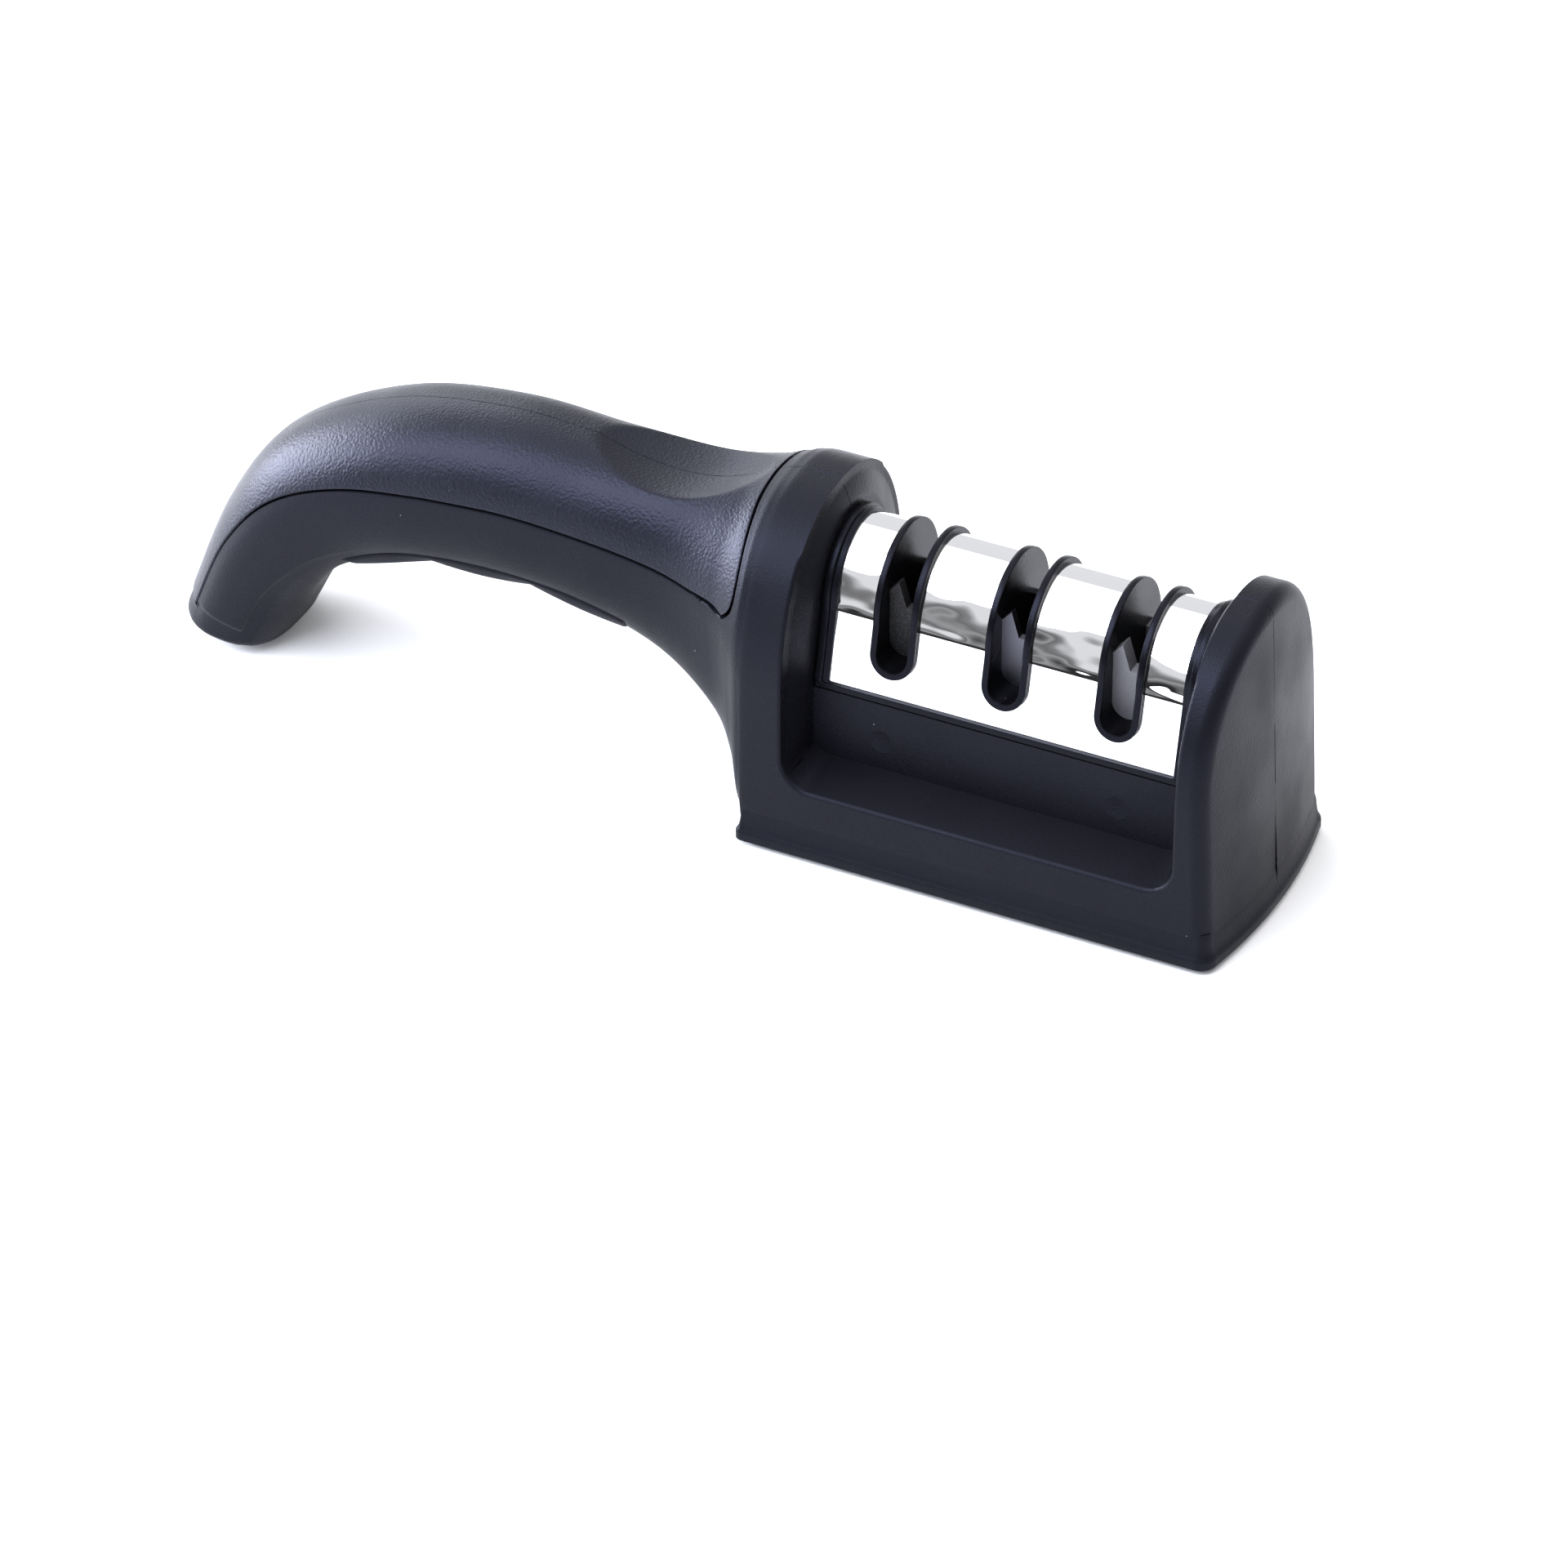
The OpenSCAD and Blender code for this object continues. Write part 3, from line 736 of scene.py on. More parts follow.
@dataclass(frozen=True)
class Abrasive(Finish):
    """A sharpening surface of fine grit.

    Attributes:
        grit: How fine the grit is, as a texture scale.
        depth: How far it stands up.
        metallic: How metallic the ground below it is.
        glint: The colour of the brighter grains.
    """

    grit: float = 3500.0
    depth: float = 0.5
    metallic: float = 0.0
    glint: tuple[float, float, float] = (0.8, 0.8, 0.8)

    def dress(self, tree: bpy.types.NodeTree, shader: bpy.types.Node) -> None:
        """Adds grit, with brighter grains in it.

        Args:
            tree: The material's tree.
            shader: Its shader.
        """
        shader.inputs["Metallic"].default_value = self.metallic
        grains = texture(tree, "Voronoi", object_place(tree), Scale=self.grit)
        standing = bumped(tree, grains.outputs["Distance"], GRIT_HEIGHT_M, self.depth)
        wire(tree, standing, shader.inputs["Normal"])
        bright = move_range(tree, cell_value(tree, grains), (0.7, 1.0), (0.0, 0.5))
        colour = blended(tree, (*self.colour, 1.0), (*self.glint, 1.0), bright)
        wire(tree, colour, shader.inputs["Base Color"])


SHELL = Moulded("satin_black_shell", (0.0042, 0.0043, 0.0062), 0.42, grain=3000.0, depth=0.35, gleam=0.13)
SOFT = Moulded(
    "soft_black_grip", (0.0028, 0.0029, 0.0050), 0.4, grain=1900.0, depth=0.65, patchy=0.05, gleam=0.26
)
PAD = Moulded("soft_black_pad", (0.003, 0.003, 0.004), 0.55, grain=1800.0, depth=0.3, sheen=0.02, gleam=0.12)
FOOT_PAD = Moulded("non_slip_rubber", (0.008, 0.008, 0.009), 0.7, grain=700.0, depth=0.9, gleam=0.15)
CORE = Moulded(
    "core_black", (0.0018, 0.0018, 0.0024), 0.28, grain=3200.0, depth=0.12, patchy=0.06, dust=0.05, gleam=0.12
)
CHROME = Metal(
    "bright_chrome", (0.86, 0.86, 0.875), 0.03,
    wave=0.42, scratch=0.02, stretch=(62.0, 95.0, 95.0), wave_from=0.0441,
)
ZINC = Metal("zinc_screw", (0.62, 0.63, 0.66), 0.28, scratch=0.4, stretch=(900.0, 900.0, 900.0))
DIAMOND = Abrasive(
    "diamond_coat", (0.008, 0.008, 0.009), 0.6, grit=4200.0, depth=0.8, metallic=0.3, glint=(0.06, 0.06, 0.07)
)
CARBIDE = Metal("ground_carbide", (0.14, 0.14, 0.17), 0.33, scratch=0.8, stretch=(120.0, 120.0, 1600.0))
CERAMIC = Abrasive(
    "fine_ceramic", (0.11, 0.11, 0.125), 0.45, grit=5200.0, depth=0.2, glint=(0.16, 0.16, 0.17),
)


def finish_piece(piece: bpy.types.Object, finish: Finish, body: str, slot: str, *nodes: str) -> None:
    """Gives a piece its material and body, and hides the nodes it stands for.

    Args:
        piece: The finished piece.
        finish: Its surface.
        body: The body it rides on.
        slot: The record's material slot; not used.
        nodes: CAD nodes that it replaces.
    """
    piece.data.materials.clear()
    piece.data.materials.append(finish.material())
    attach(piece, body)
    if nodes:
        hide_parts(*nodes)
    LOG.info("%s: %d faces on %s", piece.name, len(piece.data.polygons), body)


# The grip's surface


@dataclass(frozen=True)
class GripForm:
    """The outside of the grip as a surface over stations along it and angles round it.

    Attributes:
        sections: For each station, the reach and height of the top and of the underside, half the width, and
            the squareness of the lower half.
        top_squareness: Squareness of the upper half.
        rear: Where the grip starts behind the origin.
        tail_round: How far the tail end is rounded.
        thumb: Middle, half length, half width and depth of the thumb hollow.
        thumb_soft: How softly the hollow's rim runs out.
        seam_table: Station and angle of the soft skin's lower seam.
        crease_table: Station and angle of the crease under the side panel.
        pad_table: Station and angle of the finger pad's edge.
        front_table: Angle and station of the soft skin's front edge.
        skin_front: The station where that front edge lies furthest down.
        skin_end: The station where the skin ends.
        panel_end: The station where the raised side panel ends.
        pad_ends: The stations where the finger pad starts and ends.
        first: The station of the first ring behind the base.
        last: The last station.
    """

    sections: tuple[tuple[float, ...], ...] = (
        (-1.0, 62.8, -1.0, 2.5, 24.0, 10.0),
        (1.5, 62.5, 1.0, 5.0, 23.6, 9.0),
        (4.0, 61.6, 3.2, 11.0, 21.8, 6.0),
        (8.5, 60.2, 8.8, 17.5, 18.6, 4.6),
        (18.0, 58.9, 21.5, 24.2, 15.2, 3.6),
        (36.0, 58.8, 38.0, 28.5, 14.3, 3.2),
        (56.0, 59.2, 55.0, 29.5, 14.5, 3.0),
        (78.0, 55.0, 71.5, 28.0, 15.0, 3.0),
        (98.6, 43.9, 84.0, 22.5, 15.0, 3.0),
        (109.8, 28.9, 92.5, 14.0, 14.9, 2.8),
        (119.2, 5.6, 98.6, 2.9, 14.4, 2.8),
    )
    top_squareness: float = 2.2
    rear: float = 44.15
    tail_round: float = 3.5
    thumb: tuple[float, float, float, float] = (-66.15, 16.5, 9.0, 3.0)
    thumb_soft: float = 0.035
    seam_table: tuple[tuple[float, float], ...] = (
        (0.0, 79.0), (2.5, 79.3), (3.2, 81.5), (3.7, 82.8), (5.0, 83.3), (6.2, 83.8), (6.8, 81.8),
        (7.3, 76.2), (7.8, 70.8), (8.3, 66.8), (8.8, 62.5), (9.2, 59.0), (9.5, 57.5), (10.0, 57.0),
    )
    crease_table: tuple[tuple[float, float], ...] = (
        (0.0, 118.0), (4.4, 117.0), (5.5, 120.0), (7.2, 121.0), (7.9, 117.0), (8.5, 115.5), (9.0, 111.0),
        (9.4, 107.0), (10.0, 106.0),
    )
    pad_table: tuple[tuple[float, float], ...] = (
        (0.0, 127.0), (4.4, 126.0), (5.5, 129.0), (7.8, 130.0), (10.0, 126.0),
    )
    front_table: tuple[tuple[float, float], ...] = (
        (0.0, 2.0), (20.0, 1.93), (40.0, 1.7), (55.0, 1.55), (62.0, 1.57), (68.0, 1.68), (72.0, 1.85),
        (76.0, 2.12), (79.0, 2.45), (84.0, 2.6), (110.0, 1.8), (180.0, 1.8),
    )
    skin_front: float = 1.8
    skin_end: float = 9.86
    panel_end: float = 9.8
    pad_ends: tuple[float, float] = (4.42, 7.76)
    first: float = 0.72
    last: float = 10.0

    def read(self, at: Grid) -> Grid:
        """The sections read as a smooth curve through their rows.

        Args:
            at: Stations.

        Returns:
            The section's six values at each station.
        """
        rows = np.array(self.sections)
        last = len(rows) - 1
        i = np.clip(np.floor(at).astype(int), 0, last - 1)
        f = (at - i)[..., None]
        p1, p2 = rows[i], rows[i + 1]
        p0 = np.where((i > 0)[..., None], rows[np.maximum(i - 1, 0)], 2 * p1 - p2)
        p3 = np.where((i + 2 <= last)[..., None], rows[np.minimum(i + 2, last)], 2 * p2 - p1)
        bend, twist = 2 * p0 - 5 * p1 + 4 * p2 - p3, 3 * p1 - p0 - 3 * p2 + p3
        return 0.5 * (2 * p1 + (p2 - p0) * f + bend * f**2 + twist * f**3)

    def ends(self, row: Grid) -> tuple[Grid, Grid]:
        """Where the top and the underside of a section lie.

        Args:
            row: The section's values.

        Returns:
            Along and up of the top, and the same of the underside.
        """
        top = np.stack([-self.rear - row[..., 0], row[..., 1]], -1)
        under = np.stack([-self.rear - row[..., 2], row[..., 3]], -1)
        return top, under

    def ring(
        self, top: Grid, under: Grid, half: Grid, square: Grid, angle: Grid, inset: Grid, turn: float = 0.0
    ) -> Grid:
        """Points of a section between its top and its underside, on the near side.

        Args:
            top: Along and up of the top, for each point.
            under: Along and up of the underside.
            half: Half the width.
            square: Squareness of the lower half.
            angle: Degrees from the crest.
            inset: How far the outline is moved inwards.
            turn: Degrees of rounding past the tail.

        Returns:
            The points.
        """
        span = top - under
        high = np.sqrt((span * span).sum(-1))
        up = span / high[..., None]
        c, s = np.cos(np.radians(angle)), np.sin(np.radians(angle))
        bend = self.tail_round * math.sin(math.radians(turn))
        shrink = math.cos(math.radians(turn))
        mid = (top + under) / 2 + np.stack([-up[..., 1], up[..., 0]], -1) * bend
        e = 2.0 / np.where(c > 0, self.top_squareness, square)
        side = (half * shrink - inset) * power(s, e)
        rise = (high / 2 * shrink - inset) * power(c, e)
        return np.stack([mid[..., 0] + up[..., 0] * rise, -side, mid[..., 1] + up[..., 1] * rise], -1)

    def surface(self, station: Grid, angle: Grid, turn: float = 0.0, inset: float = 0.0) -> Grid:
        """Points of the grip's outside.

        Args:
            station: Station of each point.
            angle: Angle of each point from the crest, in degrees.
            turn: Degrees of rounding past the tail.
            inset: How far the section is moved inwards.

        Returns:
            The points, with the thumb hollow in them.
        """
        r = self.read(np.asarray(station, float))
        top, under = self.ends(r)
        p = self.ring(top, under, r[..., 4], r[..., 5], angle, np.full(r.shape[:-1], inset), turn)
        x, half_long, half_wide, deep = self.thumb
        inside = 1 - ((p[..., 0] - x) / half_long) ** 2 - (p[..., 1] / half_wide) ** 2
        soft = self.thumb_soft
        drop = deep * 0.5 * (inside + np.sqrt(inside * inside + soft * soft))
        rest = deep * 0.5 * soft * soft / (2 * (1 + np.abs(inside)))
        p[..., 2] -= np.where(angle < 90, drop - rest, 0.0) * (inside > -1.5)
        return p

    def frame(self, station: Grid, angle: Grid) -> tuple[Grid, Grid, Grid, Grid]:
        """The surface with its outward normal and its scale each way.

        Args:
            station: Station of each point.
            angle: Angle of each point.

        Returns:
            Points, outward unit normals, millimetres per station and millimetres per degree.
        """
        pace, turn = 0.01, 0.4
        p = self.surface(station, angle)
        along = (self.surface(station + pace, angle) - self.surface(station - pace, angle)) / (2 * pace)
        low, high = np.maximum(angle - turn, 0.0), np.minimum(angle + turn, 180.0)
        across = (self.surface(station, high) - self.surface(station, low)) / (high - low)[..., None]
        normal = np.cross(along, across)
        normal[..., 1] = np.where((angle < 0.01) | (angle > 179.99), 0.0, normal[..., 1])
        normal /= np.maximum(length_of(normal), 1e-9)[..., None]
        return p, normal, length_of(along), length_of(across)

    def seam(self, station: Grid) -> Grid:
        """The angle of the soft skin's lower seam."""
        return read_table(self.seam_table, station)

    def crease(self, station: Grid) -> Grid:
        """The angle of the crease under the side panel."""
        return read_table(self.crease_table, station)

    def pad_edge(self, station: Grid) -> Grid:
        """The angle of the finger pad's edge."""
        return read_table(self.pad_table, station)

    def front(self, angle: Grid) -> Grid:
        """The station of the soft skin's front edge.

        Args:
            angle: The angles to read it at.

        Returns:
            The station at each angle, softened between the rows.
        """
        table = np.array(self.front_table)
        spread = (-3.0, -1.5, 0.0, 1.5, 3.0)
        return sum(np.interp(angle + d, table[:, 0], table[:, 1]) for d in spread) / len(spread)

    def into_skin(self, station: Grid, angle: Grid, along: Grid, across: Grid) -> Grid:
        """How far inside the soft skin's outline each point lies, in millimetres.

        Args:
            station: Station of each point.
            angle: Angle of each point.
            along: Millimetres per station there.
            across: Millimetres per degree there.

        Returns:
            The distance, negative outside it.
        """
        front = (station - self.front(angle)) * along
        tail = (self.skin_end - station) * along
        side = (self.seam(station) - angle) * across
        return np.minimum(np.minimum(front, tail), side)

    def into_pad(self, station: Grid, angle: Grid, along: Grid, across: Grid) -> Grid:
        """How far inside the finger pad's outline each point lies, in millimetres.

        Args:
            station: Station of each point.
            angle: Angle of each point.
            along: Millimetres per station there.
            across: Millimetres per degree there.

        Returns:
            The distance, negative outside it.
        """
        low, high = self.pad_ends
        ends = np.minimum(station - low, high - station) * along
        return np.minimum(ends, (angle - self.pad_edge(station)) * across)

    def below_panel(self, station: Grid, angle: Grid, along: Grid, across: Grid) -> Grid:
        """How far outside the raised side panel each point lies, in millimetres.

        Args:
            station: Station of each point.
            angle: Angle of each point.
            along: Millimetres per station there.
            across: Millimetres per degree there.

        Returns:
            The distance, negative on the panel.
        """
        side = (angle - self.crease(station)) * across
        tail = (station - self.panel_end) * along
        return np.where(angle > self.seam(station) - 1.0, np.maximum(side, tail), tail)


@dataclass
class Columns:
    """The angles at which every ring of the housing is read, which follow the seams along it.

    Attributes:
        form: The surface they lie on.
        crest: Shares of the upper angle close to the crest.
        upper: Shares over the rest of the upper side, from, to and how many.
        by_seam: Degrees from the skin's seam; the first is where the upper shares end.
        panel: Degrees from the seam to the panel's columns, and how many fewer degrees than the whole panel
            they span.
        panel_count: How many of them there are.
        by_crease: Degrees from the crease.
        by_pad: Degrees from the finger pad's edge.
        under: Degrees from that edge to the underside's columns.
        under_end: The angle that they run towards.
        under_count: How many of them there are.
        by_parting: The angles at the parting groove of the underside.
    """

    form: GripForm
    crest: tuple[float, ...] = (0.0, 0.0025, 0.006, 0.013)
    upper: tuple[float, float, int] = (0.026, 1.0, 38)
    by_seam: tuple[float, ...] = (-6.5, -4.5, -3.2, -2.4, -1.8, -1.4, -1.19, -0.5, 0.0, 0.4, 0.9, 1.6, 2.6)
    panel: tuple[float, float] = (3.8, 7.0)
    panel_count: int = 12
    by_crease: tuple[float, ...] = (-1.9, -1.2, -0.6, 0.0, 0.6, 1.2, 2.0)
    by_pad: tuple[float, ...] = (-3.0, -2.0, -1.4, -0.8, -0.3, 0.0, 0.45, 1.0, 1.6, 2.6)
    under: float = 4.0
    under_end: float = 173.8
    under_count: int = 16
    by_parting: tuple[float, ...] = (178.8, 179.5, 179.82, 180.0)

    def at(self, station: Grid) -> Grid:
        """The angle of each column at each station.

        Args:
            station: One nominal station for each ring.

        Returns:
            An array of rings by columns.
        """
        s = np.asarray(station, float)[:, None]
        seam, crease, pad = self.form.seam(s), self.form.crease(s), self.form.pad_edge(s)
        shares = np.concatenate([self.crest, np.linspace(*self.upper)[:-1]])
        start, short = self.panel
        groups = [
            shares * (seam + self.by_seam[0]),
            seam + np.array(self.by_seam),
            seam + start + np.linspace(0, 1, self.panel_count) * (crease - seam - short),
            crease + np.array(self.by_crease),
            pad + np.array(self.by_pad),
            pad + self.under + np.linspace(0, 1, self.under_count) * (self.under_end - pad),
            np.array(self.by_parting) + 0 * seam,
        ]
        return np.concatenate(groups, 1)


# The housing


@dataclass
class Housing:
    """The two moulded halves, from the front end to the tail.

    Attributes:
        form: The grip's surface.
        half: Half the width of the walls above the lip.
        squareness: Squareness of the section under the uprights' round tops.
        foot_spread: Degrees of the underside's columns that are spread over the flat foot, with the scale
            and the power that do it.
        lip_proud: How far the lip stands out.
        lip: Height of the lip's foot and of its top.
        lip_foot: Height over the lip's foot and inset of its lower edge's rounding.
        foot_in: How far the walls start above the lip's foot.
        lip_corner: Radius of the lip's front corners.
        rear_corner: Radius of its rear corners.
        lip_blend: Height over the lip's top and inset of the curve that meets the wall.
        front_bow: How far the front end bows out.
        front_lean: How far it leans back.
        nose_round: Radius round the front end.
        face_insets: How far in the rings of the front face lie.
        slit: Half the width of the parting groove at its floor.
        tops: Heights of the rear and the front upright.
        inner: Where the uprights' inner faces stand.
        front: Where the front end's edges stand.
        root_rings: Place and inset of the last rings before the grip.
        wall_y: Where the wall under the head stands.
        wall_top: Its height.
        ledge: Height of the ledge at that wall.
        fall: How far the ledge falls outwards, in degrees.
        corner: Radius of the recess's corners.
        bay: Half length, half width and floor of the head's bay.
        wall: Thickness of the walls.
        rebate: How far the base plate's rebate lies inside the lip.
        cavity: Height of the rebate.
        screws_low: Along and up of the screws under the head.
        cross_stations: Stations of the screws in the grip.
        seat_depth: How deep under the wall the low screws' heads seat.
        grip_seat: Where the grip screws' heads seat, across.
        hole: Radius of the screws' holes.
        head_hole: Radius of the holes for their heads.
        bite: How far the threads reach into the near half.
        boss: Radius of the screw bosses.
        boss_skin: Wall left outside a boss, under the head and in the grip.
        crown: Height of the head's crown at the uprights.
        rim_y: Half the width of the head's rim.
        cove_top: How far the hollow faces' inner outline stands over the crown.
        cove_wide: How far it stands outside the rim.
        cove_under: How far it starts under the ledge.
        cove_inset: How far the hollow faces' outer outline lies inside the upright.
        cove_sweep: Shares of a straight and of a curved slope in the hollow.
        cove_end: How far beyond the uprights' inner faces the hollow ends, and its solid ends.
        sink_mark: Radius and depth of a sink mark.
        parting: Depth of the parting groove.
        skin_bed: Depth of the bed under the soft skin.
        skin_lip: Radius of that bed's edge.
        pad_bed: Depth of the bed under the finger pad.
        pad_lip: Radius of that bed's edge.
        panel_step: How far the side panel stands out round the tail.
        panel_edge: Where that step starts and is whole, from the panel's edge.
        panel_grows: The stations where it starts and is whole.
        channel: Depth of the channel round the skin's front edge.
        channel_from: The stations where it starts and is whole.
        channel_reach: The same, from the skin's edge.
        channel_side: The angles where it ends and is whole.
        follow: The stations where the rings start to follow the skin's front edge, and follow it.
        unfollow: The stations where they are straight again, and start to be.
        tail_turns: Degrees of rounding of the last rings, past the tail.
        edge_round: Radius of the edges round the uprights and the recess.
    """

    form: GripForm
    half: float = 24.2
    squareness: float = 12.0
    foot_spread: tuple[float, float, int] = (30.0, 0.891, 6)
    lip_proud: float = 0.8
    lip: tuple[float, float] = (1.0, 3.7)
    lip_foot: tuple[tuple[float, float], ...] = ((0.0, 0.3), (0.1, 0.1), (0.3, 0.0))
    foot_in: float = 0.3
    lip_corner: float = 3.2
    rear_corner: float = 1.3
    lip_blend: tuple[tuple[float, float], ...] = (
        (-1.2, 0.0), (-0.8, 0.07), (-0.5, 0.24), (-0.2, 0.44), (0.3, 0.62), (1.1, 0.78), (2.1, 0.91),
        (3.1, 1.02), (3.9, 1.25),
    )
    front_bow: float = 2.9
    front_lean: float = 2.8
    nose_round: float = 2.6
    face_insets: tuple[float, ...] = (23.6, 21.0, 18.0, 14.5, 11.0, 8.0, 5.5, 3.6)
    slit: float = 0.015
    tops: tuple[float, float] = (63.0, 60.4)
    inner: float = 36.35
    front: float = 42.95
    root_rings: tuple[tuple[float, float], ...] = ((-42.6, 0.0), (-43.4, 0.02), (-43.9, 0.07), (-44.15, 0.14))
    wall_y: float = 14.5
    wall_top: float = 29.5
    ledge: float = 16.3
    fall: float = 12.5
    corner: float = 5.5
    bay: tuple[float, float, float] = (34.8, 12.1, 27.0)
    wall: float = 2.4
    rebate: float = 2.2
    cavity: float = 3.4
    screws_low: tuple[tuple[float, float], ...] = ((-22.0, 21.9), (22.0, 21.9))
    cross_stations: tuple[float, ...] = (4.9, 7.1, 8.9)
    seat_depth: float = 2.0
    grip_seat: float = 9.5
    hole: float = 1.5
    head_hole: float = 2.9
    bite: float = 9.0
    boss: float = 3.6
    boss_skin: tuple[float, float] = (1.2, 2.0)
    crown: float = 56.0
    rim_y: float = 14.6
    cove_top: float = 1.8
    cove_wide: float = 1.0
    cove_under: float = 3.0
    cove_inset: float = 0.75
    cove_sweep: tuple[float, float] = (0.55, 0.45)
    cove_end: tuple[float, float] = (0.3, 1.4)
    sink_mark: tuple[float, float] = (2.3, 0.14)
    parting: float = 0.13
    skin_bed: float = 1.9
    skin_lip: float = 0.26
    pad_bed: float = 1.2
    pad_lip: float = 0.35
    panel_step: float = 0.32
    panel_edge: tuple[float, float] = (-0.25, 0.35)
    panel_grows: tuple[float, float] = (7.3, 8.3)
    channel: float = 0.1
    channel_from: tuple[float, float] = (0.9, 1.2)
    channel_reach: tuple[float, float] = (-2.0, -0.9)
    channel_side: tuple[float, float] = (84.0, 72.0)
    follow: tuple[float, float] = (0.75, 1.35)
    unfollow: tuple[float, float] = (3.6, 2.2)
    tail_turns: tuple[float, ...] = (8.0, 16.0, 26.0, 36.0, 46.0, 56.0, 66.0, 76.0, 84.0, 88.0)
    edge_round: float = 0.7

    def body_rings(self, along: Grid, top: float, inset: Grid, angles: Grid) -> Grid:
        """Rings of the base and uprights, with the underside's columns spread evenly over the flat foot.

        Args:
            along: Place of each ring.
            top: Their height.
            inset: How far each is moved in.
            angles: One row of angles for all.

        Returns:
            The rings.
        """
        reach, scale, exponent = self.foot_spread
        left = np.clip(180 - angles, 0, reach)
        spread = 180 - np.degrees(np.arcsin((scale * left / reach) ** exponent))
        angles = np.where(angles > 180 - reach, spread, angles)
        count, size = len(along), len(angles)
        place = np.repeat(np.asarray(along, float)[:, None], size, 1)
        up = np.stack([place, np.full((count, size), top)], -1)
        down = up.copy()
        down[..., 1] = self.lip[0] + self.foot_in
        one = np.ones((count, size))
        moved_in = one * np.asarray(inset, float)[:, None]
        return self.form.ring(up, down, one * self.half, one * self.squareness, one * angles, moved_in)

    def nose_rings(self, angles: Grid) -> Grid:
        """The bowed and leaning front end with its rounded edge.

        Args:
            angles: The columns' angles.

        Returns:
            Rings from the middle of the face out to the walls.
        """
        inset = list(self.face_insets)
        flat = len(inset)
        depth = [0.0] * flat
        for t in range(90, -1, -10):
            inset.append(self.nose_round * (1 - math.cos(math.radians(t))))
            depth.append(self.nose_round * (1 - math.sin(math.radians(t))))
        rings = self.body_rings(np.zeros(len(inset)), self.tops[1], np.array(inset), angles)
        y, z = rings[..., 1], rings[..., 2]
        width = self.half + self.lip_proud
        bow = self.front_bow * (1 - (y / width) ** 2)
        rings[..., 0] = self.front - np.array(depth)[:, None] + bow - self.front_lean * z / self.tops[1]
        rings[:flat, 0, 0] -= self.parting
        rings[:flat, -1, 0] -= self.parting
        rings[flat:, 0, 2] -= self.parting
        slit = rings[[0, 0]]
        slit[0, :, 1] = np.maximum(slit[0, :, 1], -self.slit)
        slit[1, :, 1] = np.maximum(slit[1, :, 1], -self.parting)
        slit[0, 1:-1, 0] -= self.parting
        return np.concatenate([slit, rings])

    def grip_rows(self) -> Grid:
        """The nominal stations of the grip's rings, close together where an edge crosses them."""
        rows = np.concatenate([
            [self.form.first, 0.85, 0.98, 1.12],
            self.form.skin_front
            + np.array([-0.5, -0.35, -0.22, -0.15, -0.09, -0.04, 0.0, 0.05, 0.12, 0.25, 0.45]),
            np.arange(2.4, 4.3, 0.07),
            [4.34, 4.38, 4.4, 4.42, 4.44, 4.48],
            np.arange(4.54, 7.7, 0.07),
            [7.72, 7.74, 7.76, 7.78, 7.81, 7.86],
            np.arange(7.92, 9.68, 0.055),
            [9.7, 9.74, 9.77, 9.79, 9.81, 9.83, 9.85, 9.86, 9.87, 9.89, 9.92, 9.96, self.form.last],
        ])
        return np.unique(np.round(rows, 4))

    def grip_drop(self, station: Grid, angle: Grid, along: Grid, across: Grid) -> Grid:
        """How far the housing lies under the grip's outside: the beds of the skin and the pad, and the seams.

        Args:
            station: Station of each point.
            angle: Angle of each point.
            along: Millimetres per station.
            across: Millimetres per degree.

        Returns:
            The drop of each point.
        """
        form = self.form
        skin = form.into_skin(station, angle, along, across)
        bed = np.where(skin > 0.1, self.skin_bed, quarter_round(-skin, self.skin_lip))
        pad = form.into_pad(station, angle, along, across)
        near_pad = quarter_round(-pad, self.pad_lip) * (pad > -2)
        bed = np.maximum(bed, np.where(pad > 0.1, self.pad_bed, near_pad))
        below = form.below_panel(station, angle, along, across)
        low = self.panel_step * ease(below, *self.panel_edge) * ease(station, *self.panel_grows)
        starts, reach = ease(station, *self.channel_from), ease(skin, *self.channel_reach)
        channel = self.channel * starts * reach * ease(angle, *self.channel_side)
        drop = np.maximum(bed, np.where(skin > 0.1, 0.0, low) + np.where(skin > -0.1, 0.0, channel))
        drop[:, 0] = np.maximum(drop[:, 0], self.parting)
        drop[:, -1] = np.maximum(drop[:, -1], self.parting)
        return drop

    def grip_rings(self, columns: Columns) -> Grid:
        """The grip from its root to the tail, with the beds, the seams and the panel in it.

        Args:
            columns: Where its columns run.

        Returns:
            The rings.
        """
        form = self.form
        rows = self.grip_rows()
        angles = columns.at(rows)
        pull = ease(rows, *self.follow) * ease(rows, *self.unfollow)
        station = rows[:, None] + pull[:, None] * (form.front(angles) - form.skin_front)
        p, normal, along, across = form.frame(station, angles)
        rings = p - normal * self.grip_drop(station, angles, along, across)[..., None]
        end = columns.at(np.array([form.last]))
        last = np.full(end.shape, form.last)
        tail = [form.surface(last, end, turn, self.panel_step)[0] for turn in self.tail_turns]
        return np.concatenate([rings, np.array(tail)])

